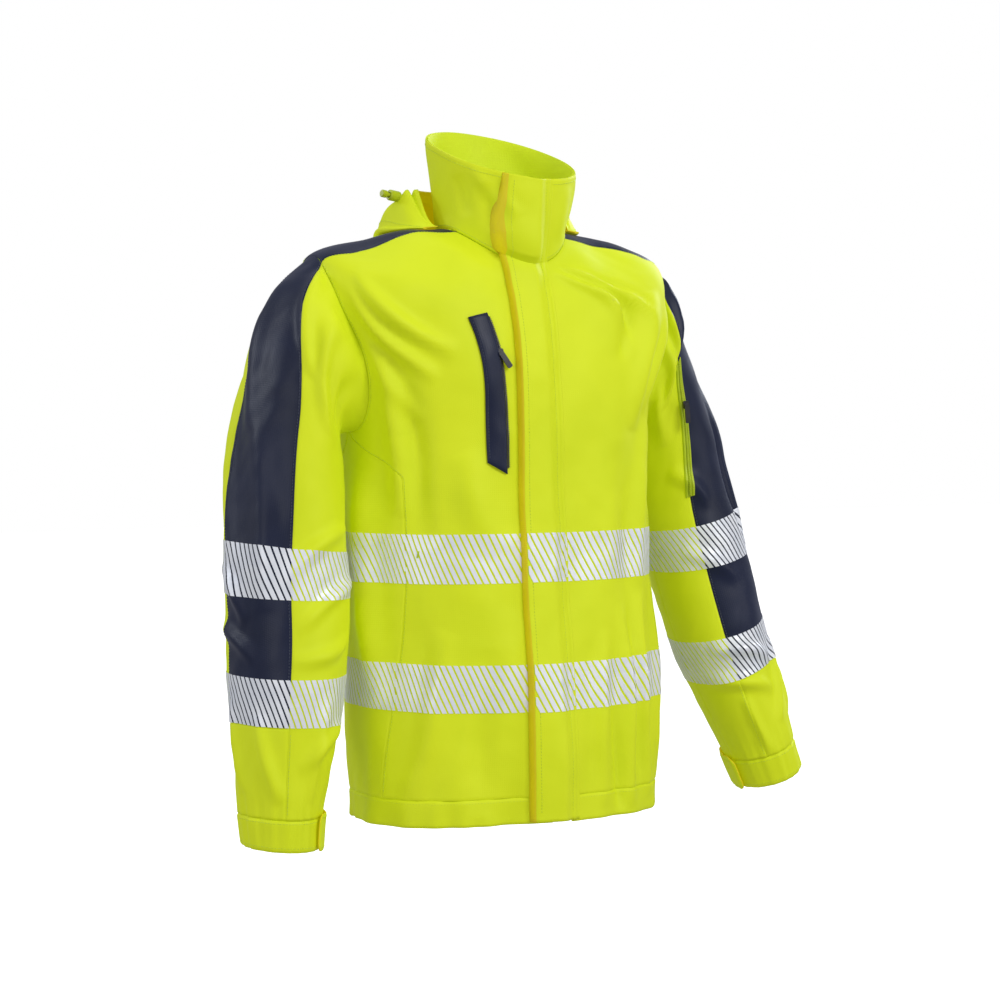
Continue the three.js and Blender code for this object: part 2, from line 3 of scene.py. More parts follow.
import bpy
import numpy as np
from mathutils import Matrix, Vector


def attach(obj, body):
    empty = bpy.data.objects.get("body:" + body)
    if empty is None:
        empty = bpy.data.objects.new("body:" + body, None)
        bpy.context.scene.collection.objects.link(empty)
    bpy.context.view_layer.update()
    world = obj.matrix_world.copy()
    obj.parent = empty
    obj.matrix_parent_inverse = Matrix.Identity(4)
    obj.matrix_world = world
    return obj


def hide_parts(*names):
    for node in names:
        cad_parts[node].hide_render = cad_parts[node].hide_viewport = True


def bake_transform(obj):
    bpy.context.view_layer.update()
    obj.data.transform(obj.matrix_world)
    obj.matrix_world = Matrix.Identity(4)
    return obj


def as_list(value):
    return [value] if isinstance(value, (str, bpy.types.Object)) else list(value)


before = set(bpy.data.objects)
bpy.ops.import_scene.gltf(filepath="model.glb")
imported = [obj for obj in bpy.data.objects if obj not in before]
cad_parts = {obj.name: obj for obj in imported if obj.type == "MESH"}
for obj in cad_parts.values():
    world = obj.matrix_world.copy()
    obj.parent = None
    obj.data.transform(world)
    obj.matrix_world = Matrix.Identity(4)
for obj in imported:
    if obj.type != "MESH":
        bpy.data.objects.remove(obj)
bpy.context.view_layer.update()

# Hooded high-visibility shell jacket. Shapes are worked out in garment millimetres (+X the wearer's
# left, -Y the front, +Z up, hem near z = 0), then moved so that the hanger loop is the origin.
HANGER = np.array([0.0, 56.0, 649.0])
MM = 0.001

# Body sections: station, half width, middle y, front y, back y, side z, front z, back z, squareness.
BODY = np.array([
    [0.00, 177, -4, -131, 102, -2, 0, -12, 2.4],
    [0.23, 177, 2, -127, 110, 150, 147, 150, 2.4],
    [0.45, 178, 12, -113, 126, 300, 300, 300, 2.4],
    [0.62, 178, 22, -104, 134, 420, 415, 420, 2.4],
    [0.74, 196, 32, -98, 138, 505, 480, 500, 2.5],
    [0.82, 217, 38, -90, 134, 572, 525, 560, 2.5],
    [0.87, 213, 40, -83, 126, 611, 556, 594, 2.4],
    [0.93, 150, 26, -76, 106, 633, 580, 624, 2.2],
    [1.00, 72, 0, -69, 72, 643, 603, 648, 2.0],
])
COLLAR = np.array([
    [0.00, 72, 0, -69, 72, 643, 603, 648, 2.0],
    [0.50, 77, 0, -76, 77, 685, 650, 702, 2.0],
    [1.00, 84, -2, -82, 82, 726, 696, 756, 2.0],
])
RIM_TILT = 5                        # how much lower the rim is on the wearer's left
# Sleeve sections: station, centre x, y, z, outward radius, fore-and-aft radius, tilt in degrees.
SLEEVE = {
    "right": np.array([
        [0.00, -204, 36, 515, 90, 60, 76],
        [0.10, -219, 37, 503, 89, 74, 75],
        [0.22, -235, 38, 467, 72, 77, 58],
        [0.35, -246, 33, 405, 61, 76, 31],
        [0.45, -252, 26, 335, 60, 76, 11],
        [0.55, -257, 17, 267, 64, 75, 3],
        [0.654, -259, 8, 200, 64, 72, 1],
        [0.759, -266, -2, 133.5, 60, 66, 1],
        [0.88, -275, -13, 56, 49, 55, 2],
        [1.00, -281, -22, -19, 40, 46, 3],
    ]),
    "left": np.array([
        [0.00, 204, 40, 515, 88, 60, 76],
        [0.10, 206, 42, 503, 87, 74, 75],
        [0.22, 219, 48, 470, 68, 77, 60],
        [0.35, 243, 52, 415, 58, 76, 38],
        [0.45, 259, 46, 350, 56, 75, 20],
        [0.55, 276, 32, 288, 58, 72, 14],
        [0.654, 290, 18, 224, 57, 68, 16],
        [0.759, 305, 4, 162, 53, 61, 20],
        [0.88, 329, -9, 88, 45, 53, 23],
        [1.00, 353, -21, 15, 38, 45, 23],
    ]),
}
SIGN = {"right": -1, "left": 1}
FORWARD_LEAN = 0.15                 # share of the sleeve's slope that its sections lean with
SLEEVE_CAP = 0.14                   # station where the sleeve has turned from armhole into tube
HOLE_STATION, HOLE_HALF, HOLE_SPREAD = 0.745, 0.125, math.radians(22)
HEM_TOP = 0.045
UNDERARM = 0.62
BODY_TAPES = {"upper": (0.391, 0.467), "lower": (0.190, 0.266)}
SLEEVE_TAPES = {"upper": (0.503, 0.582), "lower": (0.712, 0.791)}
BEND = (0.53, 0.78)                 # stations at either end of the elbow; the sleeve cloth is not made to bend between them
CUFF_TOP = 0.945
ZIP_EDGE = 11                       # x of the front panels' edges beside the main zip
FLAP_FREE, FLAP_SEWN = -36, 17      # x of the storm flap's two edges
CUFF_TAB = {"right": (-104, -30), "left": (-146, -80)}   # degrees of its sewn and free ends
CLOTH = (-1.8, 0.0)                 # inner and outer face of the cloth
BODY_RADIUS, COLLAR_RADIUS, SLEEVE_RADIUS = 180, 76, 64   # turn angles into millimetres of cloth


# ---------------------------------------------------------------- shapes

def smooth(x, low, high):
    t = np.clip((np.asarray(x, float) - low) / (high - low), 0, 1)
    return t * t * (3 - 2 * t)


def unit(vectors):
    return vectors / (np.linalg.norm(vectors, axis=-1)[..., None] + 1e-12)


def run_of(path):
    """Distance run at each point of a path, in millimetres."""
    return np.concatenate([[0], np.cumsum(np.linalg.norm(np.diff(path, axis=0), axis=1))])


def at_run(distance, run, values):
    """A path's points, or the directions given at them, at distances along it."""
    return np.stack([np.interp(distance, run, values[:, k]) for k in range(3)], -1)


def section(rows, station):
    """Smooth curve through rows keyed by their first column."""
    keys, values = rows[:, 0], rows[:, 1:]
    gaps = np.diff(keys)
    rises = np.diff(values, axis=0) / gaps[:, None]
    slopes = np.vstack([
        rises[:1],
        (rises[:-1] * gaps[1:, None] + rises[1:] * gaps[:-1, None]) / (gaps[:-1] + gaps[1:])[:, None],
        rises[-1:],
    ])
    station = np.asarray(station, float)
    k = np.clip(np.searchsorted(keys, station, side="right") - 1, 0, len(keys) - 2)
    span = gaps[k][..., None]
    t = (station - keys[k])[..., None] / span
    return ((2 * t**3 - 3 * t**2 + 1) * values[k] + (t**3 - 2 * t**2 + t) * span * slopes[k]
            + (3 * t**2 - 2 * t**3) * values[k + 1] + (t**3 - t**2) * span * slopes[k + 1])


def ring_point(rows, angle, station):
    """Point of a body or collar ring: 0 is the front, +90 degrees the wearer's left."""
    angle, station = np.broadcast_arrays(angle, station)
    half, mid, front, back, side_z, front_z, back_z, square = np.moveaxis(section(rows, station), -1, 0)
    c, s = np.cos(angle), np.sin(angle)
    x = half * np.sign(s) * np.abs(s) ** (2 / square)
    y = mid + (np.where(c > 0, front, back) - mid) * np.abs(c) ** (2 / square)
    even = smooth(station, 0, 0.6) if rows is COLLAR else 0.0
    z = side_z + (np.where(c > 0, front_z, back_z) - side_z) * (c * c + even * (np.abs(c) - c * c))
    return np.stack([x, y, z - even * RIM_TILT * s * station], -1)


def front_angle(rows, x, station):
    values = section(rows, station)
    return np.sign(x) * np.arcsin((np.abs(x) / values[..., 0]) ** (values[..., 7] / 2))


def sleeve_point(side, angle, station):
    """Point of a sleeve: 0 is forward, 90 degrees outward or up."""
    angle, station = np.broadcast_arrays(angle, station)
    sign, rows = SIGN[side], SLEEVE[side]
    x, y, z, out, fore, tilt = np.moveaxis(section(rows, station), -1, 0)
    tilt = np.radians(tilt)
    ahead = section(rows, np.minimum(station + 0.01, 1))
    behind = section(rows, np.maximum(station - 0.01, 0))
    settle = np.clip((station - 0.1) / 0.3, 0, 1)
    rise = ahead - behind
    lean = FORWARD_LEAN * settle * np.arctan2(rise[..., 1], np.abs(rise[..., 2]))
    zero = np.zeros_like(lean)
    outward = np.stack([sign * np.cos(tilt), zero, np.sin(tilt)], -1)
    forward = np.stack([zero, -np.cos(lean), np.sin(lean)], -1)
    tube = (np.stack([x, y, z], -1) + forward * (fore * np.cos(angle))[..., None]
            + outward * (out * np.sin(angle))[..., None])
    hole = ring_point(BODY, sign * (math.pi / 2 - HOLE_SPREAD * np.cos(angle)),
                      HOLE_STATION + HOLE_HALF * np.sin(angle))
    w = smooth(station, 0, SLEEVE_CAP)[..., None]
    return hole + (tube - hole) * w


# ---------------------------------------------------------------- how the cloth hangs

def ripple_bank(seed, count, shortest, longest, upright):
    """Random long waves in space; upright below 1 stretches them along z."""
    rng = np.random.default_rng(seed)
    direction = rng.normal(size=(count, 3)) * [1, 1, upright]
    direction /= np.linalg.norm(direction * [1, 1, 1 / max(upright, 0.2)], axis=1)[:, None]
    length = rng.uniform(shortest, longest, count)
    return direction * (2 * math.pi / length)[:, None], rng.uniform(0, 2 * math.pi, count)


def ripple(points, bank):
    waves, phases = bank
    return np.sin(points @ waves.T + phases).sum(-1) / math.sqrt(len(phases) / 2)


BROAD = ripple_bank(11, 9, 110, 230, 0.45)
SOFT = ripple_bank(23, 12, 42, 95, 0.6)
FINE = ripple_bank(31, 14, 16, 34, 0.8)


def fold(across, along, start, end, width, height, bow=0.0):
    """Soft ridge (or hollow, if height is negative) from start to end, dying out at both ends."""
    run = np.array(end, float) - start
    length = float(np.hypot(*run))
    run /= length
    t = ((across - start[0]) * run[0] + (along - start[1]) * run[1]) / length
    off = (across - start[0]) * run[1] - (along - start[1]) * run[0]
    inside = np.clip(t, 0, 1)
    off = off - bow * np.sin(math.pi * inside)
    taper = (4 * inside * (1 - inside)) ** 0.8
    q = (off / width) ** 2
    return height * taper * (1 - 0.75 * q) * np.exp(-q)


def folds(listed, angle, along, radius, depth=1.0):
    """Height of all the listed folds at an angle round the cloth and a distance along it."""
    total = 0
    for (a0, low), (a1, high), width, height, bow in listed:
        turn = (np.degrees(angle) - a0 + 180) % 360 - 180
        end = (math.radians(a1 - a0) * radius, high)
        total = total + fold(turn * math.radians(radius), along, (0, low), end, width, depth * height, bow)
    return total


# Folds of the body: start and end as (degrees round, height in mm), width, height, sideways bow.
BODY_FOLDS = [
    ((-62, 592), (-24, 505), 13, 5.0, 8),
    ((-66, 574), (-34, 478), 12, 4.6, 10),
    ((-70, 540), (-46, 430), 14, 3.6, 6),
    ((-64, 520), (-60, 330), 22, 5.0, -8),
    ((-52, 500), (-48, 300), 26, -4.5, 6),
    ((-30, 400), (-16, 290), 26, 3.0, 10),
    ((-40, 210), (-58, 30), 24, 3.6, -8),
    ((-22, 190), (-27, 12), 22, -2.6, 6),
    ((14, 596), (31, 500), 9, 3.6, -6),
    ((20, 604), (42, 545), 8, 3.4, 4),
    ((29, 590), (27, 500), 14, -5.5, 0),
    ((44, 575), (40, 420), 22, 5.0, 8),
    ((62, 560), (48, 440), 16, 4.4, 6),
    ((58, 430), (40, 250), 24, 4.0, 10),
    ((30, 410), (34, 180), 30, -3.4, -8),
    ((18, 205), (15, 10), 13, 3.6, 4),
    ((28, 230), (30, 6), 14, 4.4, -5),
    ((41, 240), (46, 12), 15, 4.6, 5),
    ((60, 260), (66, 20), 22, 4.4, -6),
    ((22, 120), (24, 4), 10, -3.4, 0),
    ((-84, 380), (-78, 120), 26, 5.0, 8),
    ((84, 380), (78, 120), 26, 5.0, -8),
    ((122, 400), (112, 200), 30, 5.0, 10),
    ((-122, 400), (-114, 180), 30, 5.4, -10),
    ((150, 560), (128, 420), 22, 4.4, 8),
    ((-150, 560), (-126, 400), 22, 4.8, -8),
    ((172, 520), (150, 340), 30, -3.8, 8),
    ((-165, 470), (-150, 250), 30, 4.0, 8),
    ((170, 220), (160, 20), 26, 4.4, 0),
    ((-160, 210), (-140, 12), 26, 4.0, 6),
    ((116, 545), (141, 468), 12, 3.4, 6),
    ((-116, 545), (-141, 468), 12, 3.6, -6),
    ((120, 500), (133, 405), 14, 3.0, 6),
    ((-118, 505), (-134, 400), 14, 3.2, -6),
    ((179, 350), (186, 150), 22, 3.4, 8),
    ((148, 330), (144, 60), 18, 3.4, -8),
    ((-150, 300), (-146, 40), 18, 3.4, 8),
    ((126, 210), (122, 8), 14, 3.2, 0),
    ((-125, 200), (-120, 8), 14, 3.4, 0),
]


def body_drape(angle, station, point):
    total = 2.0 * ripple(point, BROAD) + 1.0 * ripple(point, SOFT) + 0.14 * ripple(point, FINE)
    total = total + folds(BODY_FOLDS, angle, point[..., 2], BODY_RADIUS, depth=2.0)
    gather = np.exp(-np.maximum(station, 0) / 0.05)
    a = angle * BODY_RADIUS
    total = total + gather * (1.3 * np.sin(a / 7.3 + 2 * np.sin(a / 41)) + 1.1 * np.sin(a / 15.1 + 1.0))
    hole = np.hypot((np.abs((angle + math.pi) % (2 * math.pi) - math.pi) - math.pi / 2) / HOLE_SPREAD,
                    (station - HOLE_STATION) / HOLE_HALF)
    return total * smooth(hole, 1.0, 1.7) * (1 - smooth(station, 0.95, 0.995))


COLLAR_FOLDS = [
    ((-52, 720), (-20, 655), 10, 3.4, 6),
    ((-40, 690), (-34, 640), 12, -4.2, 0),
    ((-66, 700), (-58, 655), 11, -3.0, 0),
    ((38, 690), (30, 630), 14, 2.4, 0),
    ((64, 700), (56, 650), 13, 2.8, 0),
    ((150, 740), (120, 690), 16, 2.6, 0),
    ((-160, 735), (-130, 680), 16, 2.6, 0),
]


def collar_drape(angle, station, point):
    total = 0.9 * ripple(point, SOFT) + 0.1 * ripple(point, FINE)
    total = total + folds(COLLAR_FOLDS, angle, point[..., 2], COLLAR_RADIUS)
    return total * smooth(station, 0.0, 0.2) * (1 - 0.6 * smooth(station, 0.85, 1.0))


# Folds of the sleeves: start and end as (degrees round, mm down the sleeve), width, height, bow.
SLEEVE_FOLDS = {
    "right": [
        ((60, 22), (20, 130), 12, 4.6, 8), ((20, 40), (-10, 170), 12, 4.4, 6),
        ((-20, 30), (-34, 150), 12, -3.6, 0), ((96, 60), (80, 200), 16, 4.0, 6),
        ((70, 190), (50, 330), 16, 3.4, -8), ((120, 150), (90, 300), 16, 4.0, 6),
        ((-50, 250), (30, 300), 9, 3.4, 8), ((-60, 300), (20, 345), 9, 3.6, 6),
        ((-55, 350), (25, 372), 9, 3.2, -5), ((70, 340), (110, 290), 11, 3.6, 4),
        ((60, 372), (120, 345), 10, 3.6, 4), ((-60, 430), (10, 470), 10, 3.4, 6),
        ((60, 420), (30, 500), 11, 3.6, 4), ((100, 410), (84, 495), 11, 3.6, 0),
        ((-20, 400), (-10, 500), 12, 3.0, 4), ((150, 320), (200, 380), 14, 4.0, 0),
        ((180, 200), (150, 330), 18, 4.4, 6), ((210, 380), (170, 470), 13, 3.8, 0),
    ],
    "left": [
        ((64, 20), (24, 90), 9, 5.0, 6), ((34, 18), (6, 84), 8, 5.0, 4),
        ((6, 30), (-24, 120), 10, 4.6, 6), ((-30, 50), (-36, 180), 12, 4.0, 0),
        ((84, 70), (64, 190), 9, 4.2, 5), ((66, 150), (46, 300), 8, 4.4, -4),
        ((88, 190), (62, 330), 10, 4.4, 4), ((46, 190), (40, 290), 6, -3.4, 0),
        ((-40, 210), (0, 250), 10, 3.2, 4), ((-50, 290), (10, 330), 10, 3.0, 4),
        ((70, 300), (100, 350), 10, 3.8, 4), ((-50, 390), (30, 420), 9, 4.4, 8),
        ((-70, 420), (20, 446), 9, 4.2, 6), ((50, 400), (10, 480), 9, 4.2, 4),
        ((84, 410), (60, 490), 10, 4.0, 0), ((-30, 440), (-20, 505), 9, 3.6, 0),
        ((150, 300), (200, 370), 14, 4.0, 0), ((170, 150), (140, 300), 18, 4.4, 6),
    ],
}
SLEEVE_LENGTH = {"right": 545, "left": 535}
LEFT_SHIFT = 900                    # sets the left sleeve's ripples apart from the right one's


def sleeve_drape(side):
    def drape(angle, station, point):
        moved = point + (0 if side == "right" else LEFT_SHIFT)
        total = 1.1 * ripple(moved, SOFT) + 0.8 * ripple(moved, BROAD) + 0.15 * ripple(moved, FINE)
        down = station * SLEEVE_LENGTH[side]
        total = total + folds(SLEEVE_FOLDS[side], angle, down, SLEEVE_RADIUS, depth=1.7)
        outer = 0.45 + 0.55 * smooth(np.sin(angle - 0.5), -0.2, 0.8)
        gather = smooth(station, 0.86, 0.94) * outer
        total = total + gather * (1.2 * np.sin(angle * 17 + 2 * np.sin(angle * 3)) + 0.5 * np.sin(angle * 29))
        return total * smooth(station, 0.0, 0.07) * (1 - 0.35 * smooth(station, 0.95, 1.0))
    return drape


class Surface:
    """A garment surface that cloth lies on: its base shape, its outward normal and how it hangs."""

    def __init__(self, point, centre, drape):
        self.point, self.centre, self.drape = point, centre, drape

    def __call__(self, u, v, lift=0.0):
        u, v, lift = np.broadcast_arrays(u, v, lift)
        step = 1e-3
        p = self.point(u, v)
        across = self.point(u + step, v) - self.point(u - step, v)
        upward = self.point(u, v + step) - self.point(u, v - step)
        n = unit(np.cross(across, upward))
        n *= np.where((n * (p - self.centre(v))).sum(-1) < 0, -1, 1)[..., None]
        return p + n * (lift + self.drape(u, v, p))[..., None]


def body_centre(station):
    values = section(BODY, station)
    return np.stack([0 * station, values[..., 1], np.minimum(values[..., 4], 560)], -1)


def collar_centre(station):
    values = section(COLLAR, station)
    return np.stack([0 * station, 0 * station, values[..., 4]], -1)


body = Surface(lambda a, s: ring_point(BODY, a, s), body_centre, body_drape)
collar = Surface(lambda a, s: ring_point(COLLAR, a, s), collar_centre, collar_drape)
sleeve = {
    side: Surface(
        lambda a, s, side=side: sleeve_point(side, a, s),
        lambda s, side=side: section(SLEEVE[side], s)[..., :3],
        sleeve_drape(side),
    )
    for side in SIGN
}


def front_strip(x, travel, lift):
    """Point on the strip up the front, at x across and 0 to 2 from the hem to the collar's rim."""
    x, travel, lift = np.broadcast_arrays(x, travel, lift)

    def point(x, travel, hang=False):
        low, high = np.minimum(travel, 1), np.maximum(travel - 1, 0)
        on_body = front_angle(BODY, x, low)
        on_collar = front_angle(COLLAR, x, high)
        p = ring_point(BODY, on_body, low)
        q = ring_point(COLLAR, on_collar, high)
        out = np.where((travel < 1)[..., None], p, q)
        if not hang:
            return out
        return out, np.where(travel < 1, body_drape(on_body, low, p), collar_drape(on_collar, high, q))

    p, hang = point(x, travel, True)
    rise = point(x, np.minimum(travel + 0.02, 2)) - point(x, np.maximum(travel - 0.02, 0))
    normal = unit(np.stack([0 * x, -rise[..., 2], rise[..., 1]], -1))
    return p + normal * (lift + hang)[..., None]


# ---------------------------------------------------------------- materials

WAVE_RATE = 20                      # the wave texture's bands run this many radians a unit at scale 1
WEAVE_DEPTH = 0.0006                # metres


def set_inputs(node, values):
    for name, value in values.items():
        node.inputs[name].default_value = value


def material(name, colour, roughness, shade, mottle_scale=30.0, weave=0.0, weave_period=0.0024,
             metallic=0.0, sheen=0.0, sheen_tint=(1, 1, 1), coat=0.0, specular=0.5, glow=None):
    """Principled material whose colour drifts a little and whose bump is a woven face. glow is a fixed
    emission: on the yellow fabrics it is painted light that stands in for the fluorescent dye and lifts the
    shade, on the floor an even white."""
    made = bpy.data.materials.new(name)
    made.use_nodes = True
    new, link = made.node_tree.nodes.new, made.node_tree.links.new
    shader = made.node_tree.nodes["Principled BSDF"]
    set_inputs(shader, {
        "Metallic": metallic, "Roughness": roughness, "Specular IOR Level": specular,
        "Sheen Weight": sheen, "Sheen Tint": (*sheen_tint, 1), "Coat Weight": coat,
    })
    if glow:
        set_inputs(shader, {"Emission Color": (*glow, 1), "Emission Strength": 1.0})
    place, noise, ramp = new("ShaderNodeTexCoord"), new("ShaderNodeTexNoise"), new("ShaderNodeValToRGB")
    set_inputs(noise, {"Scale": mottle_scale, "Detail": 5})
    for stop, position, tint in zip(ramp.color_ramp.elements, (0.3, 0.62), (shade, colour)):
        stop.position = position
        stop.color = (*tint, 1)
    link(place.outputs["Object"], noise.inputs["Vector"])
    link(noise.outputs["Fac"], ramp.inputs["Fac"])
    link(ramp.outputs["Color"], shader.inputs["Base Color"])
    if weave:
        uv, knit, bump = new("ShaderNodeUVMap"), new("ShaderNodeMath"), new("ShaderNodeBump")
        uv.uv_map = "UVMap"
        knit.operation = "MULTIPLY"
        for k, direction in enumerate(("X", "Y")):
            ribs = new("ShaderNodeTexWave")
            ribs.bands_direction = direction
            set_inputs(ribs, {"Scale": 2 * math.pi / (WAVE_RATE * weave_period)})
            link(uv.outputs["UV"], ribs.inputs["Vector"])
            link(ribs.outputs["Fac"], knit.inputs[k])
        set_inputs(bump, {"Strength": weave, "Distance": WEAVE_DEPTH})
        link(knit.outputs["Value"], bump.inputs["Height"])
        link(bump.outputs["Normal"], shader.inputs["Normal"])
    return made


# The yellow's glow is painted light: a fixed emission standing in for the dye's fluorescence, which lifts the
# yellow in shade.
YELLOW = material("yellow_softshell", (0.64, 0.74, 0.010), 0.62, (0.59, 0.70, 0.007), mottle_scale=9,
                  weave=0.12, sheen=0.05, sheen_tint=(0.9, 1.0, 0.3), specular=0.3, glow=(0.085, 0.092, 0.0))
# Painted shade: a darker, oranger yellow for the turned edges and undersides of the flap, cuff tabs and hood,
# standing in for the shade in the gaps beside them; its glow is painted light that keeps this shade
# saturated.
YELLOW_PAINTED_SHADE = material("yellow_painted_shade", (0.66, 0.56, 0.001), 0.7, (0.60, 0.50, 0.001), weave=0.12,
                       glow=(0.15, 0.12, 0.0))
# The lining's glow is painted light too, lifting it in shade.
LINING = material("yellow_lining", (0.62, 0.74, 0.004), 0.7, (0.56, 0.68, 0.002), mottle_scale=14,
                  weave=0.2, weave_period=0.003, glow=(0.07, 0.08, 0.0))
NAVY = material("navy_softshell", (0.009, 0.014, 0.042), 0.42, (0.006, 0.010, 0.030), mottle_scale=12,
                weave=0.15, sheen=0.06, sheen_tint=(0.42, 0.48, 0.95), specular=0.26)
TAPE = material("reflective_film", (0.84, 0.86, 0.92), 0.40, (0.74, 0.77, 0.85), mottle_scale=45,
                weave=0.06, weave_period=0.0016, metallic=0.12)
THREAD = material("yellow_thread", (0.60, 0.75, 0.02), 0.5, (0.5, 0.62, 0.01), mottle_scale=400, sheen=0.2)
NAVY_THREAD = material("navy_thread", (0.03, 0.038, 0.085), 0.5, (0.02, 0.028, 0.06), mottle_scale=400,
                       sheen=0.3)
ZIP_YELLOW = material("yellow_zip", (0.50, 0.62, 0.010), 0.4, (0.42, 0.53, 0.008), mottle_scale=80)
LOCK_YELLOW = material("olive_yellow_plastic", (0.46, 0.55, 0.015), 0.33, (0.39, 0.47, 0.01),
                       mottle_scale=70, coat=0.2)
BLACK = material("black_plastic", (0.018, 0.018, 0.021), 0.36, (0.010, 0.010, 0.012), mottle_scale=160,
                 coat=0.15)
FLOOR = material("pale_floor", (0.93, 0.93, 0.93), 0.8, (0.90, 0.90, 0.90), mottle_scale=2, glow=(1, 1, 1))


# ---------------------------------------------------------------- mesh making

def new_piece(name, points, faces, materials, uvs=None, face_material=None):
    """Smooth mesh object from garment millimetres."""
    mesh = bpy.data.meshes.new(name)
    placed = (np.asarray(points, float).reshape(-1, 3) - HANGER) * MM
    mesh.from_pydata(placed.tolist(), [], [tuple(int(i) for i in f) for f in faces])
    for m in materials:
        mesh.materials.append(m)
    mesh.polygons.foreach_set("use_smooth", [True] * len(mesh.polygons))
    if face_material is not None:
        mesh.polygons.foreach_set("material_index", np.asarray(face_material, np.int32))
    layer = mesh.uv_layers.new(name="UVMap")
    corner = np.empty(len(mesh.loops), np.int32)
    mesh.loops.foreach_get("vertex_index", corner)
    flat = placed[:, :2] if uvs is None else np.asarray(uvs, float).reshape(-1, 2)
    layer.data.foreach_set("uv", flat[corner].astype(np.float32).ravel())
    piece = bpy.data.objects.new(name, mesh)
    bpy.context.scene.collection.objects.link(piece)
    return piece


def settle(piece, *nodes, body="root"):
    """The piece stands in for these CAD nodes and rides on a body."""
    if nodes:
        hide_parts(*nodes)
    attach(piece, body)


def lengths(grid, axis):
    """Distance run along a grid's rows or columns, in millimetres."""
    steps = np.linalg.norm(np.diff(grid, axis=axis), axis=-1)
    pad = [(1, 0) if k == axis else (0, 0) for k in range(2)]
    return np.pad(np.cumsum(steps, axis=axis), pad)


def sheet_piece(name, outer, inner, materials, closed=False, wall=0, back=0):
    """Thin cloth between two grids of points; closed joins the last column to the first. wall and
    back are which of the materials its rim and its inner face have."""
    rows, columns = outer.shape[:2]
    count = rows * columns
    grid = np.arange(count).reshape(rows, columns)
    right = np.roll(grid, -1, axis=1)
    a, b = (grid, right) if closed else (grid[:, :-1], grid[:, 1:])
    quads = np.stack([a[:-1], b[:-1], b[1:], a[1:]], -1).reshape(-1, 4)
    faces = [quads, quads[:, ::-1] + count]
    kinds = [np.zeros(len(quads), int), np.full(len(quads), back)]

    def side(path):
        ends = np.stack([path[:-1], path[1:]], -1)
        faces.append(np.stack([ends[:, 1], ends[:, 0], ends[:, 0] + count, ends[:, 1] + count], -1))
        kinds.append(np.full(len(ends), wall))

    def loop(path):
        return np.append(path, path[:1]) if closed else path

    side(loop(grid[0]))
    side(loop(grid[-1])[::-1])
    if not closed:
        side(grid[::-1, 0])
        side(grid[:, -1])
    faces = np.concatenate(faces)
    mid = outer[rows // 2, columns // 2] - inner[rows // 2, columns // 2]
    p = outer[rows // 2 - 1:rows // 2 + 1, columns // 2 - 1:columns // 2 + 1]
    if np.dot(np.cross(p[0, 1] - p[0, 0], p[1, 0] - p[0, 0]), mid) < 0:
        faces = faces[:, ::-1]
    u = lengths(outer, 1)
    u = (u - u[:, columns // 2:columns // 2 + 1]) * MM
    v = lengths(outer, 0) * MM
    uv = np.stack([u, v], -1).reshape(-1, 2)
    return new_piece(name, np.concatenate([outer.reshape(-1, 3), inner.reshape(-1, 3)]), faces,
                     materials, np.concatenate([uv, uv]), np.concatenate(kinds))


def edged(count, width, closed=False):
    """Fractions 0 to 1 with fine steps at both ends, for cloth that turns down at its seams."""
    if closed:
        return np.arange(count) / count
    ends = np.array([0, 0.5, 1.2, 2.2, 3.6]) / width
    middle = np.linspace(ends[-1], 1 - ends[-1], max(count, 2))[1:-1]
    return np.concatenate([ends, middle, 1 - ends[::-1]])


def seam_roll(fractions, width, depth=1.1, reach=1.5):
    """How far cloth dips beside its edges, in millimetres."""
    edge = np.minimum(fractions, 1 - fractions) * width
    return depth * np.exp(-((edge / reach) ** 2))


def panel(name, surface, angles, stations, materials, columns=40, rows=60, width=200.0, height=300.0,
          lifts=CLOTH, closed=False, roll=(True, True), station_grid=None, depth=0.7, back=0):
    """Cloth panel on a surface: angles(station) gives its two edges. roll says whether it dips by
    depth along its sides and along its ends."""
    across = edged(columns, width, closed)
    if station_grid is None:
        up = edged(rows, height)
        at = stations[0] + up * (stations[1] - stations[0])
        v = np.repeat(at[:, None], len(across), 1)
    else:
        up, v = station_grid(across)
    low, high = angles(v)
    u = low + (high - low) * across[None, :]
    dip = np.zeros_like(v)
    if roll[0] and not closed:
        dip = np.maximum(dip, seam_roll(across, width, depth)[None, :])
    if roll[1]:
        dip = np.maximum(dip, seam_roll(up, height, depth)[:, None])
    outer = surface(u, v, lifts[1] - dip)
    inner = surface(u, v, lifts[0] + 0.25 * dip)
    return sheet_piece(name, outer, inner, materials, closed, back=back)


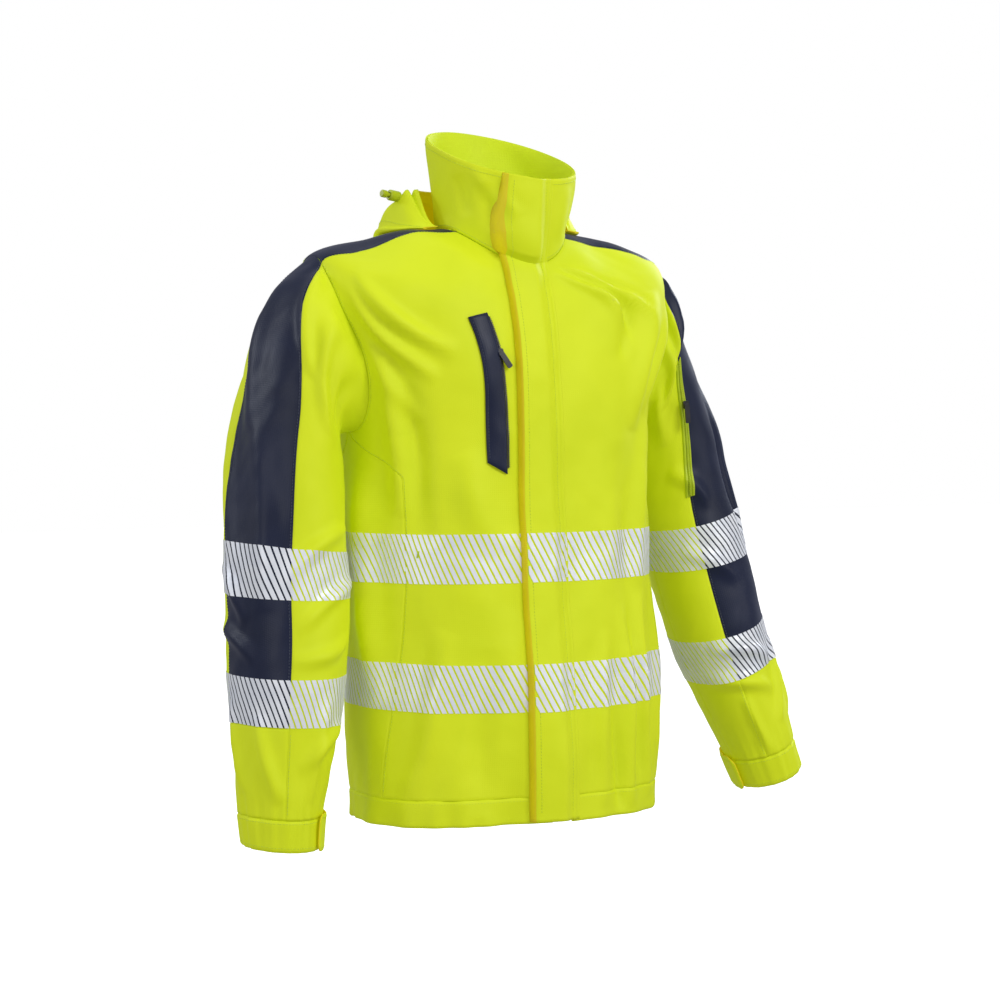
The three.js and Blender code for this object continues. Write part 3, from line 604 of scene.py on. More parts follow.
def stitches(name, path, thread, lift, pitch=3.4, length=2.5, width=0.75, height=0.4):
    """Row of thread stitches lying along a path of points, raised along the given normals."""
    run = run_of(path)
    starts = np.arange(0.5, run[-1] - length, pitch)
    a, b = at_run(starts, run, path), at_run(starts + length, run, path)
    ahead = unit(b - a)
    up = at_run(starts, run, lift)
    up = unit(up - ahead * (up * ahead).sum(1)[:, None])
    across = np.cross(ahead, up)
    rings = []
    for t, size in ((0.0, 0.25), (0.18, 0.85), (0.5, 1.0), (0.82, 0.85), (1.0, 0.25)):
        base = a + (b - a) * t
        ring = [base + across * (size * width / 2 * math.cos(k)) + up * (size * height * math.sin(k))
                for k in np.linspace(0, 2 * math.pi, 6, endpoint=False)]
        rings.append(np.stack(ring, 1))
    points = np.stack(rings, 1)                     # stitch, ring, corner, xyz
    n, rings_count, corners = points.shape[:3]
    index = np.arange(rings_count * corners).reshape(rings_count, corners)
    nxt = np.roll(index, -1, axis=1)
    quads = np.stack([index[:-1], nxt[:-1], nxt[1:], index[1:]], -1).reshape(-1, 4)
    caps = [tuple(index[0][::-1]), tuple(index[-1])]
    faces = []
    for k in range(n):
        faces.extend((quads + k * index.size).tolist())
        faces.extend([tuple(int(i) + k * index.size for i in cap) for cap in caps])
    return new_piece(name, points, faces, [thread])


def surface_stitches(name, surface, u, v, thread, lift=0.1, **options):
    """Stitches along a line given by its angles and stations on a surface."""
    low = surface(np.asarray(u, float), np.asarray(v, float), lift)
    high = surface(np.asarray(u, float), np.asarray(v, float), lift + 1)
    return stitches(name, low, thread, lift=high - low, **options)


def tape_band(name, place, edges, levels, slant, pitch, bar, steps=12, across=3, lifts=(0.35, 0.65)):
    """Band of slanting bars of reflective film. place(u, v, lift) is the surface, with u in
    millimetres along the band, edges its two ends and levels its two stations."""
    low, high = levels
    v = np.linspace(low, high, steps + 1)
    t = np.linspace(0, 1, steps + 1)
    first, last = edges
    outer, inner = [], []
    k = -int(abs(slant) / pitch) - 2
    while first + k * pitch < last + abs(slant) + pitch:
        left = first + k * pitch - slant * (t - 0.5)
        right = np.clip(left + bar, first, last)
        left = np.clip(left, first, last)
        k += 1
        keep = right - left > 0.3
        if keep.sum() < 2:
            continue
        rows = np.nonzero(keep)[0]
        l, r, s = left[rows], right[rows], v[rows]
        u = l[:, None] + (r - l)[:, None] * np.linspace(0, 1, across)[None, :]
        w = np.repeat(s[:, None], across, 1)
        outer.append(place(u, w, lifts[1]))
        inner.append(place(u, w, lifts[0]))
    points, faces, offset = [], [], 0
    for a, b in zip(outer, inner):
        rows, columns = a.shape[:2]
        count = rows * columns
        grid = np.arange(count).reshape(rows, columns) + offset
        quads = np.stack([grid[:-1, :-1], grid[:-1, 1:], grid[1:, 1:], grid[1:, :-1]], -1).reshape(-1, 4)
        rim = np.concatenate([grid[0], grid[1:, -1], grid[-1, -2::-1], grid[-2:0:-1, 0]])
        nxt = np.roll(rim, -1)
        walls = np.stack([nxt, rim, rim + count, nxt + count], -1)
        block = np.concatenate([quads, quads[:, ::-1] + count, walls])
        normal = np.cross(a[0, 1] - a[0, 0], a[1, 0] - a[0, 0])
        if np.dot(normal, a[0, 0] - b[0, 0]) < 0:
            block = block[:, ::-1]
        points += [a.reshape(-1, 3), b.reshape(-1, 3)]
        faces.append(block)
        offset += 2 * count
    band = new_piece(name, np.concatenate(points), np.concatenate(faces), [TAPE])
    band.data.set_sharp_from_angle(angle=math.radians(40))
    return band


# ---------------------------------------------------------------- camera, floor and light

def look_from(azimuth, elevation, distance, target, lens):
    a, e = math.radians(azimuth), math.radians(elevation)
    back = Vector((math.sin(a) * math.cos(e), -math.cos(a) * math.cos(e), math.sin(e)))
    data = bpy.data.cameras.new("camera")
    data.lens, data.sensor_width = lens, 36
    camera = bpy.data.objects.new("camera", data)
    bpy.context.scene.collection.objects.link(camera)
    camera.location = Vector(target) + back * distance
    camera.rotation_mode = "QUATERNION"
    camera.rotation_quaternion = (-back).to_track_quat("-Z", "Y")
    data.clip_end = 100
    bpy.context.scene.camera = camera


def add_light(name, place, target, size, power, colour=(1, 1, 1)):
    data = bpy.data.lights.new(name, "AREA")
    data.shape, data.size, data.energy, data.color = "DISK", size, power, colour
    light = bpy.data.objects.new(name, data)
    bpy.context.scene.collection.objects.link(light)
    light.location = place
    light.rotation_mode = "QUATERNION"
    light.rotation_quaternion = (Vector(target) - Vector(place)).to_track_quat("-Z", "Y")


def build_studio():
    middle = (0, -0.056, -0.306)
    look_from(azimuth=-30, elevation=2.5, distance=3.1, target=middle, lens=100)
    reach, drop = 14, -1.15
    mesh = bpy.data.meshes.new("floor")
    side = np.linspace(-reach, reach, 9)
    points = [(x, y, drop) for y in side for x in side]
    index = np.arange(81).reshape(9, 9)
    faces = np.stack([index[:-1, :-1], index[:-1, 1:], index[1:, 1:], index[1:, :-1]], -1).reshape(-1, 4)
    mesh.from_pydata(points, [], faces.tolist())
    mesh.materials.append(FLOOR)
    floor = bpy.data.objects.new("floor", mesh)
    bpy.context.scene.collection.objects.link(floor)
    floor.visible_diffuse = floor.visible_glossy = False
    add_light("key", (0.7, -3.0, 1.5), middle, 1.2, 54)
    add_light("fill", (-2.9, -1.6, 0.3), middle, 1.8, 20)
    add_light("fill_left", (2.3, -2.5, 0.2), middle, 1.4, 10)
    add_light("rim_left", (2.4, 1.0, 0.9), middle, 0.8, 30, (0.86, 0.92, 1))
    add_light("rim_right", (-2.4, 1.4, 0.9), middle, 0.8, 16, (0.88, 0.93, 1))
    add_light("top", (0, 0.2, 2.4), middle, 1.6, 12)
    world = bpy.data.worlds.new("studio")
    bpy.context.scene.world = world
    world.use_nodes = True
    tree = world.node_tree
    background = tree.nodes["Background"]
    background.inputs["Strength"].default_value = 0.36
    seen = tree.nodes.new("ShaderNodeBackground")
    seen.inputs["Color"].default_value = background.inputs["Color"].default_value = (1, 1, 1, 1)
    rays, mix = tree.nodes.new("ShaderNodeLightPath"), tree.nodes.new("ShaderNodeMixShader")
    tree.links.new(rays.outputs["Is Camera Ray"], mix.inputs["Fac"])
    tree.links.new(background.outputs["Background"], mix.inputs[1])
    tree.links.new(seen.outputs["Background"], mix.inputs[2])
    tree.links.new(mix.outputs["Shader"], tree.nodes["World Output"].inputs["Surface"])
    bpy.context.scene.view_settings.view_transform = "Standard"


build_studio()


# ---------------------------------------------------------------- body

def side_seam(station):
    """Front edge of a side panel: down the side, curving back into the armhole at its top."""
    base = 75 - 17 * smooth(station, 0, 0.45)
    return np.radians(base + (89.7 - base) * smooth(station, 0.55, UNDERARM))


def back_seam(station):
    return np.radians(112 - 21.7 * smooth(station, 0.53, UNDERARM))


def hole_spread(station):
    q = np.clip((station - HOLE_STATION) / HOLE_HALF, -1, 1)
    return HOLE_SPREAD * np.sqrt(1 - q * q)


YOKE_START = 0.859                    # station where the shoulder strip meets the armhole
YOKE_WIDTH = math.radians(9)          # how far it reaches there, each way from the side
YOKE_FRONT = {"right": 18, "left": 27}
YOKE_BACK = 26                        # degrees it reaches in front and behind, nearer the neck
YOKE_TURN = (0.862, 0.895)            # stations over which it spreads


def yoke_half(station, reach):
    """How far the shoulder strip beside the neck reaches, each way from the side."""
    return YOKE_WIDTH + (math.radians(reach) - YOKE_WIDTH) * smooth(station, *YOKE_TURN)


def torso_edge(station, side_edge, yoke_spread, sign):
    """Where a front or back panel ends at the side: side seam, then armhole, then shoulder strip."""
    out = side_edge(station)
    out = np.where(station > UNDERARM, math.pi / 2 + sign * hole_spread(station), out)
    return np.where(station > YOKE_START, math.pi / 2 + sign * yoke_half(station, yoke_spread), out)


def torso_rows():
    """Stations up the torso, close together where the armhole's outline turns."""
    gap = math.sqrt(HOLE_HALF**2 - (YOKE_START - HOLE_STATION) ** 2)
    turn = np.linspace(0, math.pi - math.asin(gap / HOLE_HALF), 34)
    lower = HEM_TOP + edged(110, 375) * (UNDERARM - HEM_TOP)
    armhole = HOLE_STATION - HOLE_HALF * np.cos(turn)
    upper = YOKE_START + edged(26, 150) * (1.0 - YOKE_START)
    return np.concatenate([lower[:-1], armhole[:-1], upper])


def torso_grid(across):
    at = torso_rows()
    fraction = (at - at[0]) / (at[-1] - at[0])
    return fraction, np.repeat(at[:, None], len(across), 1)


def yoke_grid(across):
    """Stations of a shoulder strip, from the armhole's outline to the neck."""
    up = edged(30, 120)
    away = (across - 0.5) * 2 * YOKE_WIDTH / HOLE_SPREAD
    low = HOLE_STATION + HOLE_HALF * np.sqrt(1 - away**2)
    return up, low[None, :] + up[:, None] * (1.0 - low[None, :])


def add_torso():
    for side, sign in SIGN.items():
        front = panel(
            f"front_panel_cloth_{side}", body,
            lambda v: (sign * front_angle(BODY, ZIP_EDGE, v),
                       sign * torso_edge(v, side_seam, YOKE_FRONT[side], -1)),
            None, [YELLOW, LINING], columns=46, width=170, height=640, station_grid=torso_grid, back=1)
        settle(front, f"front_panel_{side}")
        flank = panel(
            f"side_panel_cloth_{side}", body,
            lambda v: (sign * side_seam(v), sign * back_seam(v)),
            (HEM_TOP, UNDERARM), [YELLOW, LINING], columns=34, rows=104, width=140, height=375, back=1)
        settle(flank, f"side_panel_{side}")
        yoke = panel(
            f"shoulder_strip_{side}", body,
            lambda v: (sign * (math.pi / 2 - yoke_half(v, YOKE_FRONT[side])),
                       sign * (math.pi / 2 + yoke_half(v, YOKE_BACK))),
            None, [NAVY, LINING], columns=24, width=80, height=120, station_grid=yoke_grid, back=1)
        settle(yoke, f"shoulder_yoke_{side}")
    back = panel(
        "back_panel_cloth", body,
        lambda v: (torso_edge(v, back_seam, YOKE_BACK, 1),
                   2 * math.pi - torso_edge(v, back_seam, YOKE_BACK, 1)),
        None, [YELLOW, LINING], columns=96, width=380, height=640, station_grid=torso_grid, back=1)
    settle(back, "back_panel")
    hem = panel(
        "hem_band_cloth", body,
        lambda v: (front_angle(BODY, ZIP_EDGE, v), 2 * math.pi - front_angle(BODY, ZIP_EDGE, v)),
        (0.0, HEM_TOP), [YELLOW, LINING], columns=300, rows=9, width=1050, height=30, depth=1.6,
        lifts=(-2.4, 0.4), back=1)
    settle(hem, "hem_band")


def add_torso_stitching():
    turn = np.linspace(0, 1, 500)
    opening = float(front_angle(BODY, ZIP_EDGE + 3, 0.03))
    around = opening + turn * (2 * math.pi - 2 * opening)
    rows = [("hem_stitching", around, np.full(500, HEM_TOP - 0.006))]
    at = np.linspace(HEM_TOP + 0.01, UNDERARM - 0.01, 300)
    top = np.linspace(HOLE_STATION - HOLE_HALF + 0.004, YOKE_START, 160)
    yoke = np.linspace(YOKE_START + 0.004, 0.992, 60)
    seam_gap, hole_gap, yoke_gap = 3.0 / 170, 4 / 170, 2.5 / 150
    for side, sign in SIGN.items():
        rows.append((f"side_seam_stitching_{side}", sign * (side_seam(at) - seam_gap), at))
        rows.append((f"back_seam_stitching_{side}", sign * (back_seam(at) + seam_gap), at))
        rows.append((f"armhole_stitching_{side}", sign * (math.pi / 2 - hole_spread(top) - hole_gap), top))
        for place, spread, turned in (("front", YOKE_FRONT[side], -1), ("back", YOKE_BACK, 1)):
            edge = math.pi / 2 + turned * (yoke_half(yoke, spread) + yoke_gap)
            rows.append((f"yoke_stitching_{place}_{side}", sign * edge, yoke))
    for name, u, v in rows:
        settle(surface_stitches(name, body, u, v, THREAD))


BAND_RADIUS = 178                     # of the body where the bands go round it
BODY_BARS = {"slant": 27, "pitch": 8.6, "bar": 5.9}


def add_body_tapes():
    def place(u, v, lift):
        return body(u / BAND_RADIUS, v, lift)

    whole = 2 * math.pi * BAND_RADIUS
    for level, (low, high) in BODY_TAPES.items():
        middle = (low + high) / 2
        seam = float(side_seam(middle)) * BAND_RADIUS
        opening = float(front_angle(BODY, ZIP_EDGE + 1, middle)) * BAND_RADIUS
        runs = {"front_right": (-seam, -opening), "front_left": (opening, seam), "back": (seam, whole - seam)}
        for label, ends in runs.items():
            tape = tape_band(f"tape_bars_{level}_{label}", place, ends, (low, high), **BODY_BARS)
            settle(tape, f"tape_{level}_{label}")


# ---------------------------------------------------------------- collar, flap and main zip

def add_collar():
    def edges(v):
        opening = front_angle(COLLAR, ZIP_EDGE - 2, v)
        return opening, 2 * math.pi - opening

    outer = panel("collar_cloth", collar, edges, (0.0, 1.0), [YELLOW, LINING], columns=150, rows=30,
                  width=480, height=95, lifts=(-1.8, 0.2), depth=0.8, back=1)
    settle(outer, "collar_outer")
    lining = panel("collar_lining_cloth", collar, edges, (0.03, 0.992), [LINING], columns=120, rows=24,
                   width=470, height=92, lifts=(-3.6, -2.0), depth=0.5)
    settle(lining, "collar_lining")
    turn = np.linspace(0.14, 2 * math.pi - 0.14, 400)
    for label, level in (("rim", 0.935), ("foot", 0.045)):
        row = surface_stitches(f"collar_{label}_stitching", collar, turn, np.full(400, level), THREAD,
                               lift=0.4)
        settle(row)


FLAP_WIDTH = 54                      # millimetres across what shows of it


FLAP_CLOTH = 0.9                     # height of the flap where it lies on the front
FLAP_STAND, FLAP_SPREAD = 12.0, 7.0  # how far its free edge stands off, and how much more at the collar
FLAP_RIDGE = 13.5                    # x of the piped ridge beside its sewn edge


def flap_lift(x, travel):
    """Height of the flap over the cloth: sewn down on the wearer's left, standing off at its edge."""
    off = (FLAP_SEWN - x) / (FLAP_SEWN - FLAP_FREE)
    stand = FLAP_STAND + FLAP_SPREAD * smooth(travel, 1.0, 1.12) * (1 - smooth(travel, 1.2, 2.0))
    wave = 0.9 * np.sin(travel * 11.0) * off
    ridge = 2.3 * np.exp(-(((x - FLAP_RIDGE) / 2.0) ** 2))
    return FLAP_CLOTH + (stand - FLAP_CLOTH + wave) * smooth(off, 0.02, 0.42) + ridge


def flap_edge(travel):
    """x of the flap's free edge: it wanders a little up the front and spreads at the collar."""
    return FLAP_FREE - 1.6 * np.sin(travel * 5.2) - 3.0 * smooth(travel, 1.0, 1.25)


def flap_grid():
    """x, travel and share of the width of the flap's points, closer together at the collar's foot."""
    travel = np.concatenate([
        np.linspace(0.004, 0.94, 150), np.linspace(0.946, 1.1, 28), np.linspace(1.11, 1.995, 60),
    ])
    across = edged(22, FLAP_WIDTH)
    left = flap_edge(travel)
    right = np.full_like(travel, FLAP_SEWN + 3.5)
    x = left[:, None] + (right - left)[:, None] * across[None, :]
    return x, np.repeat(travel[:, None], len(across), 1), across


def add_flap():
    x, travel, across = flap_grid()
    lift = flap_lift(np.minimum(x, FLAP_SEWN), travel)
    over = np.maximum(lift * (1 - smooth(x, FLAP_SEWN, FLAP_SEWN + 3)), FLAP_CLOTH)
    free = np.exp(-((across * FLAP_WIDTH / 1.2) ** 2))[None, :]
    outer = front_strip(x, travel, over - 0.5 * free)
    blend = smooth(x, FLAP_FREE + 2, FLAP_FREE + 7)
    foot = 1.5 + 6.0 * smooth(travel, 0.99, 1.05) * (1 - smooth(travel, 1.1, 2.0))
    under = x - foot * np.exp(-(((x - x[:, :1]) / 3) ** 2))
    inner = front_strip(under, travel, (0.6 + 0 * over) * (1 - blend) + np.maximum(over - 1.6, -0.5) * blend)
    # The flap's rim and underside get the painted-shade yellow, standing in for the shade in the gap under
    # its free edge.
    flap = sheet_piece("storm_flap_cloth", outer, inner, [YELLOW, YELLOW_PAINTED_SHADE], wall=1, back=1)
    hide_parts("storm_flap")
    pieces = [flap]
    at = np.linspace(0.02, 1.96, 900)
    for label, line in (("free", flap_edge(at) + 5.5), ("sewn", 0 * at + 10.0)):
        low = front_strip(line, at, flap_lift(line, at) + 0.1)
        high = front_strip(line, at, flap_lift(line, at) + 1.1)
        pieces.append(stitches(f"flap_stitching_{label}", low, THREAD, lift=high - low))
    for level, (low, high) in BODY_TAPES.items():
        ends = (float(flap_edge((low + high) / 2)) + 0.6, FLAP_SEWN + 2.5)
        tape = tape_band(f"tape_bars_{level}_flap",
                         lambda u, v, lift: front_strip(u, v, flap_lift(u, v) + lift),
                         ends, (low, high), across=5, **BODY_BARS)
        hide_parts(f"tape_{level}_flap")
        pieces.append(tape)
    for piece in pieces:
        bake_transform(piece)
    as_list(pieces[1:])


def teeth(name, path, out, materials, pitch=2.4, half=1.9):
    """Two interleaved rows of zip teeth along a path."""
    run = run_of(path)
    points, faces = [], []
    box = np.array([[x, y, z] for x in (0, 1) for y in (0, 1) for z in (0, 1)], float)
    quads = [(0, 1, 3, 2), (4, 6, 7, 5), (0, 4, 5, 1), (2, 3, 7, 6), (0, 2, 6, 4), (1, 5, 7, 3)]
    for k, d in enumerate(np.arange(1, run[-1] - 1, pitch / 2)):
        p, n = at_run(d, run, path), at_run(d, run, out)
        ahead = unit(at_run(min(d + 1, run[-1]), run, path) - p)
        n = unit(n - ahead * n.dot(ahead))
        side = np.cross(ahead, n) * (1 if k % 2 else -1)
        corners = p + (box[:, :1] * (half + 0.7) - 0.7) * side + (box[:, 1:2] - 0.5) * 1.1 * ahead \
            + box[:, 2:] * 1.1 * n
        faces += [tuple(len(points) + i for i in q) for q in quads]
        points += corners.tolist()
    piece = new_piece(name, points, faces, materials)
    bevel = piece.modifiers.new("rounding", "BEVEL")
    bevel.width, bevel.segments = 0.00022, 2
    return piece


def add_main_zip():
    at = np.linspace(0.006, 1.985, 600)
    low, high = front_strip(0 * at, at, -1.4), front_strip(0 * at, at, -0.4)
    chain = teeth("main_zip_teeth", low, high - low, [ZIP_YELLOW])
    settle(chain, "main_zip_chain")
    for side, sign in SIGN.items():
        travel = np.linspace(0.006, 1.985, 160)[:, None]
        x = sign * np.linspace(1.1, 11.5, 7)[None, :]
        tape = sheet_piece(f"main_zip_webbing_{side}", front_strip(x, travel, -0.9),
                           front_strip(x, travel, -1.7), [ZIP_YELLOW])
        settle(tape, f"main_zip_tape_{side}")


# ---------------------------------------------------------------- sleeves

# Where the navy outer panel of each sleeve starts and ends: degrees low on the sleeve, how much
# further round it is higher up, how much more in the sleeve's cap, and the stations it turns over.
NAVY_EDGES = {
    "right": {"front": (24, 42, 0), "back": (104, 10, 0), "turn": (0, 0.33)},
    "left": {"front": (-28, 76, 25), "back": (70, 44, 9), "turn": (-0.25, 0.6)},
}
NAVY_CAP = 0.13                       # station where the cap's extra turn has ended
NAVY_END = 0.791                      # the navy panel stops at the foot of the lower tape


def navy_edge(side, edge, station):
    low, further, cap = NAVY_EDGES[side][edge]
    turned = 1 - smooth(station, *NAVY_EDGES[side]["turn"])
    return np.radians(low + further * turned + cap * (1 - smooth(station, 0, NAVY_CAP)))


FORWARD, AROUND = -math.pi / 2, 3 * math.pi / 2   # the underarm seam, where a sleeve's cloth starts and ends
ROW_HEIGHT = 2.8                      # millimetres from row to row of a sleeve's cloth


def elbow_blend(piece, side):
    ends = [(section(SLEEVE[side], s)[:3] - HANGER) * MM for s in BEND]
    tuple(ends[0])
    tuple(ends[1])
    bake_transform(piece)


def add_sleeve(side):
    surface = sleeve[side]

    def navy_front(station):
        return navy_edge(side, "front", station)

    def navy_back(station):
        return navy_edge(side, "back", station)

    def grid(first, last, count):
        def made(across):
            up = np.linspace(0, 1, count)
            at = first + up * (last - first)
            return up, np.repeat(at[:, None], len(across), 1)
        return made

    def front(v):
        return FORWARD + 0 * v, navy_front(v)

    def outer(v):
        return navy_front(v), navy_back(v)

    def back(v):
        return navy_back(v), AROUND + 0 * v

    # Name, edges, cloth, first and last station, columns, width, rows, and the CAD nodes it replaces.
    specs = [
        ("front", front, YELLOW, (0.0, CUFF_TOP), 40, 130, 190, ("sleeve_front", "forearm_front")),
        ("outer", outer, NAVY, (0.0, NAVY_END), 24, 80, 150, ("sleeve_outer", "elbow_fold")),
        ("outer_forearm", outer, YELLOW, (NAVY_END, CUFF_TOP), 24, 70, 40, ()),
        ("back", back, YELLOW, (0.0, CUFF_TOP), 46, 170, 190, ("sleeve_back", "forearm_back")),
    ]
    for name, edges, cloth, span, columns, width, rows, replaced in specs:
        piece = panel(f"sleeve_{name}_cloth_{side}", surface, edges, None, [cloth, LINING], columns=columns,
                      width=width, height=rows * ROW_HEIGHT, station_grid=grid(*span, rows), back=1,
                      roll=(True, edges is outer))
        if replaced:
            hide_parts(*(f"{node}_{side}" for node in replaced))
        elbow_blend(piece, side)
    at = np.linspace(0.02, NAVY_END - 0.01, 420)
    low = np.linspace(NAVY_END + 0.01, CUFF_TOP - 0.005, 120)
    lines = [
        (f"navy_seam_stitching_front_{side}", navy_front(at) + 2.6 / 65, at, NAVY_THREAD),
        (f"navy_seam_stitching_back_{side}", navy_back(at) - 2.6 / 65, at, NAVY_THREAD),
        (f"forearm_seam_stitching_{side}", navy_front(low) - 2.6 / 60, low, THREAD),
    ]
    for name, u, v, thread in lines:
        elbow_blend(surface_stitches(name, surface, u, v, thread), side)
    for level, (first, last) in SLEEVE_TAPES.items():
        tape = tape_band(
            f"tape_bars_{level}_sleeve_{side}",
            lambda u, v, lift: surface(u / SLEEVE_RADIUS, v, lift),
            (FORWARD * SLEEVE_RADIUS, AROUND * SLEEVE_RADIUS), (first, last),
            slant=-22 * SIGN[side], pitch=6.9, bar=4.9)
        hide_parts(f"tape_{level}_sleeve_{side}")
        elbow_blend(tape, side)
    add_cuff(side)


def add_cuff(side):
    surface = sleeve[side]
    band = panel(f"cuff_band_cloth_{side}", surface, lambda v: (FORWARD + 0 * v, AROUND + 0 * v),
                 (CUFF_TOP, 1.0), [YELLOW, LINING], columns=120, rows=9, width=280, height=30, closed=True,
                 lifts=(-2.6, 0.7), back=1, depth=1.8)
    settle(band, f"cuff_band_{side}", body=f"forearm_{side}")
    turn = np.linspace(FORWARD, AROUND, 260)
    for label, level in (("low", 0.992), ("high", CUFF_TOP + 0.006)):
        row = surface_stitches(f"cuff_stitching_{label}_{side}", surface, turn, np.full(260, level), THREAD,
                               lift=0.6)
        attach(row, f"forearm_{side}")
    sewn, free = np.radians(CUFF_TAB[side])
    across = edged(24, 60)[None, :]
    up = edged(8, 30)[:, None]
    nose = 0.5 * (1 - np.sqrt(np.clip(1 - np.maximum(across - 0.86, 0) ** 2 / 0.14**2, 0, 1)))
    v = 0.938 + (0.5 + (up - 0.5) * (1 - 0.75 * nose)) * 0.062
    u = sewn + (free - sewn) * across + 0 * up
    stand = 1.9 + 2.2 * smooth(across, 0.5, 1.0) + 0 * up
    dip = np.maximum(seam_roll(across, 60, 0.7), seam_roll(up, 30, 0.7))
    # The tab's rim and underside get the painted-shade yellow, standing in for the shade beneath it.
    tab = sheet_piece(f"cuff_tab_cloth_{side}", surface(u, v, stand + 2.2 - dip), surface(u, v, stand),
                      [YELLOW, YELLOW_PAINTED_SHADE], wall=1, back=1)
    settle(tab, f"cuff_tab_{side}", body=f"cuff_tab_{side}")
    edge = np.linspace(0.04, 0.93, 60)
    for label, level in (("low", 0.993), ("high", 0.944)):
        lift = 4.2 + 2.2 * smooth(edge, 0.5, 1.0)
        line = surface(sewn + (free - sewn) * edge, np.full(60, level), lift)
        above = surface(sewn + (free - sewn) * edge, np.full(60, level), lift + 1)
        row = stitches(f"cuff_tab_stitching_{label}_{side}", line, THREAD, lift=above - line)
        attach(row, f"cuff_tab_{side}")


# ---------------------------------------------------------------- pockets

def welt_x(t):
    """x of the chest welt's middle, t from its foot to its top."""
    return -62.5 - 14.5 * t**4.5


WELT = (0.568, 0.846)                # stations of the chest welt's foot and top
WELT_WIDTH = 22


def welt_lean(across, t):
    """How much higher the welt's inner edge lies than its outer one, in stations."""
    return (across - 0.5) * (0.012 * t - 0.018 * (1 - t))


def add_chest_pocket():
    low, high = WELT
    t = edged(50, 175)[:, None]
    across = edged(8, WELT_WIDTH)[None, :]
    v = low + (high - low) * t + welt_lean(across, t)
    x = welt_x(t) + (across - 0.5) * WELT_WIDTH
    u = front_angle(BODY, x, v)
    dip = np.maximum(seam_roll(across, WELT_WIDTH, 0.9), seam_roll(t, 175, 0.9))
    crown = 1.2 * np.sin(math.pi * across)
    welt = sheet_piece("chest_welt_cloth", body(u, v, 3.4 + crown - dip), body(u, v, 0.2 + 0 * v), [NAVY])
    settle(welt, "chest_pocket_welt")
    at = np.linspace(0.03, 0.97, 200)
    for label, side in (("inner", 0.1), ("outer", 0.9)):
        s = low + (high - low) * at + welt_lean(side, at)
        a = front_angle(BODY, welt_x(at) + (side - 0.5) * WELT_WIDTH, s)
        settle(surface_stitches(f"chest_welt_stitching_{label}", body, a, s, NAVY_THREAD, lift=3.7))


def add_chest_zip():
    """Black zip teeth along the welt's edge nearest the front."""
    t = np.linspace(1.0, 0.0, 240)
    station = WELT[0] + (WELT[1] - WELT[0]) * t
    angle = front_angle(BODY, welt_x(t) + WELT_WIDTH / 2 + 1.6, station)
    low, high = body(angle, station, 0.9), body(angle, station, 1.9)
    chain = teeth("chest_zip_teeth", low, high - low, [BLACK], pitch=2.2, half=1.6)
    settle(chain, "chest_zip_chain")


def add_sleeve_pocket():
    """Yellow zip let into the seam between the yellow and navy panels of the wearer's left sleeve."""
    surface = sleeve["left"]
    t = np.linspace(0, 1, 120)
    station = 0.172 + 0.276 * t
    middle = np.radians(9.5 - 30.5 * t)
    rows = []
    for k, (first, last, height) in enumerate(((-6.5, -1.8, 1.5), (1.8, 5.6, 1.5), (-2.2, 2.2, 0.7))):
        across = np.linspace(0, 1, 9)[None, :]
        u = middle[:, None] + (first + (last - first) * across) / 66
        crown = height * np.sin(math.pi * across) ** 0.5
        piece = sheet_piece(f"sleeve_zip_{('lip_front', 'lip_back', 'webbing')[k]}",
                            surface(u, station[:, None] + 0 * u, 0.5 + crown),
                            surface(u, station[:, None] + 0 * u, 0.1 + 0 * crown), [ZIP_YELLOW])
        rows.append(piece)
    low, high = surface(middle, station, 1.2), surface(middle, station, 2.2)
    rows.append(teeth("sleeve_zip_teeth", low, high - low, [ZIP_YELLOW], pitch=2.2, half=1.6))
    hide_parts("sleeve_pocket_welt")
    for piece in rows:
        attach(piece, "root")


def add_tack():
    """Small bar of tacking over the upper band, on the wearer's right."""
    at = np.linspace(0, 1, 30)
    for k, shift in enumerate((0.0, 1.6)):
        u = np.radians(-52 + 1.0 * at) + shift / 178
        row = surface_stitches(f"pocket_tack_{k}", body, u, 0.430 + 0.014 * at, THREAD, lift=1.0,
                               pitch=1.8, length=2.4, width=1.1, height=0.6)
        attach(row, "root")


# ---------------------------------------------------------------- hood

HOOD_END = math.radians(82)           # where the folded hood starts, beside the neck
NECK_END, NECK_DROP = 0.992, 0.010    # body station of its neck seam there, and how much lower behind
LIP_END, LIP_DROP = 0.980, 0.060      # the same for its lip
TIP_DROP = 0.075                      # how much lower still the lip hangs at the middle of the back


def hood_fullness(angle):
    start = math.sin(HOOD_END / 2) ** 2
    return np.clip((np.sin(angle / 2) ** 2 - start) / (1 - start), 0, 1)


def hood_lip(angle):
    full = hood_fullness(angle)
    return LIP_END - LIP_DROP * full - TIP_DROP * full**10


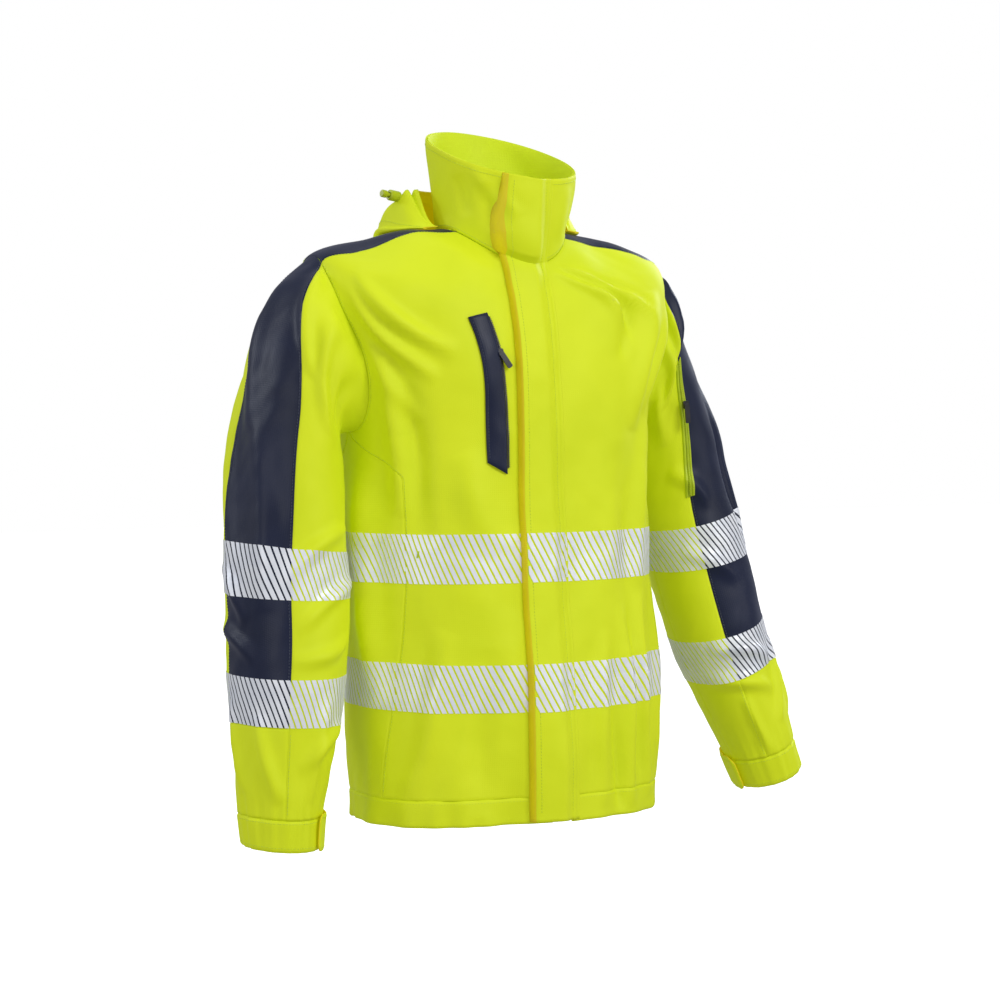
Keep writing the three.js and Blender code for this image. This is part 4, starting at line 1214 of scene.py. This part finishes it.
def hood_surface(angle, v, lift):
    """Folded hood: v runs from the neck seam up beside the collar, over a ridge and out to its lip."""
    full = hood_fullness(angle)
    neck, lip = NECK_END - NECK_DROP * np.sqrt(full), hood_lip(angle)
    base = ring_point(BODY, angle, neck + v * (lip - neck))
    from_end = np.degrees(np.minimum(angle, 2 * math.pi - angle) - HOOD_END)
    rise = smooth(from_end, 0, 30)
    ridge = 38 * (1 - np.clip((v - 0.36) / 0.64, 0, 1) ** 1.4)
    crease = 9 * np.exp(-(((v - 0.19) / 0.05) ** 2))
    height = 3.5 + 4.0 * rise + rise * (ridge - crease)
    pleats = (2.4 * np.sin(angle * 7 + 4 * v) + 1.5 * np.sin(angle * 12 - 7 * v + 1.0)
              + 1.2 * np.sin(angle * 3 + 9 * v))
    pleats = pleats * rise * np.clip(v * (1.15 - v) * 2.6, 0, 1)
    outward = np.stack([np.sin(angle), -np.cos(angle), 0 * angle], -1)
    p = base + outward * (2 + pleats * 0.7 + lift)[..., None]
    p[..., 2] += height + pleats + lift * 0.6
    return p


def add_hood():
    count = 150
    across = edged(count, 520)
    angle = HOOD_END + across * (2 * math.pi - 2 * HOOD_END)
    angle, v = np.meshgrid(angle, np.linspace(0, 1, 44))
    outer = hood_surface(angle, v, 1.0)
    top, round_neck = outer[-1], angle[0]
    outward = np.stack([np.sin(round_neck), -np.cos(round_neck), 0 * round_neck], -1)
    resting = ring_point(BODY, round_neck, hood_lip(round_neck))
    drop = top[:, 2] - resting[:, 2] - 1.6
    turn = np.linspace(0, math.pi, 8)[1:, None]
    rolled = top[None] + outward[None] * (np.sin(turn) * 3.6)[..., None]
    rolled[..., 2] -= drop[None] * (1 - np.cos(turn)) / 2
    tuck = np.linspace(0, 1, 5)[1:, None]
    tucked = rolled[-1][None] - outward[None] * (tuck * 14)[..., None]
    tucked[..., 2] += tuck * 2.5
    outer = np.concatenate([outer, rolled, tucked])
    normal = unit(np.cross(np.gradient(outer, axis=1), np.gradient(outer, axis=0)))
    if normal[24, count // 2, 2] < 0:
        normal = -normal
    # The hood's rim and underside get the painted-shade yellow, standing in for the shade in its folds.
    hood = sheet_piece("hood_cloth", outer, outer - normal * 1.3, [YELLOW, YELLOW_PAINTED_SHADE], wall=1, back=1)
    settle(hood, "hood_folded")
    a = np.linspace(HOOD_END + 0.05, 2 * math.pi - HOOD_END - 0.05, 400)
    line, above = hood_surface(a, np.full(400, 0.93), 1.2), hood_surface(a, np.full(400, 0.93), 2.2)
    stitching = stitches("hood_stitching", line, THREAD, lift=above - line)
    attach(stitching, "root")


# ---------------------------------------------------------------- carried-over hard parts

def finish_cad(name, finish, width=0.0006, segments=3):
    """Give a CAD node its material and softened edges."""
    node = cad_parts[name]
    node.data.materials.clear()
    node.data.materials.append(finish)
    bevel = node.modifiers.new("rounding", "BEVEL")
    bevel.width, bevel.segments, bevel.limit_method = width, segments, "ANGLE"
    bevel.angle_limit = math.radians(35)


def add_hard_parts():
    for name in ("main_zip_slider", "main_zip_pull", "chest_zip_slider", "chest_zip_pull",
                 "sleeve_zip_slider", "sleeve_zip_pull"):
        finish_cad(name, BLACK, 0.0005)
    for name in ("cord_lock_barrel", "cord_lock_button"):
        finish_cad(name, LOCK_YELLOW, 0.0007)
    finish_cad("hanger_loop", NAVY, 0.0003, 2)
    finish_cad("chest_pocket_bag", LINING, 0.0003, 1)


add_torso()
add_torso_stitching()
add_body_tapes()
add_collar()
add_flap()
add_main_zip()
add_sleeve("right")
add_sleeve("left")
add_chest_pocket()
add_chest_zip()
add_sleeve_pocket()
add_tack()
add_hood()
add_hard_parts()
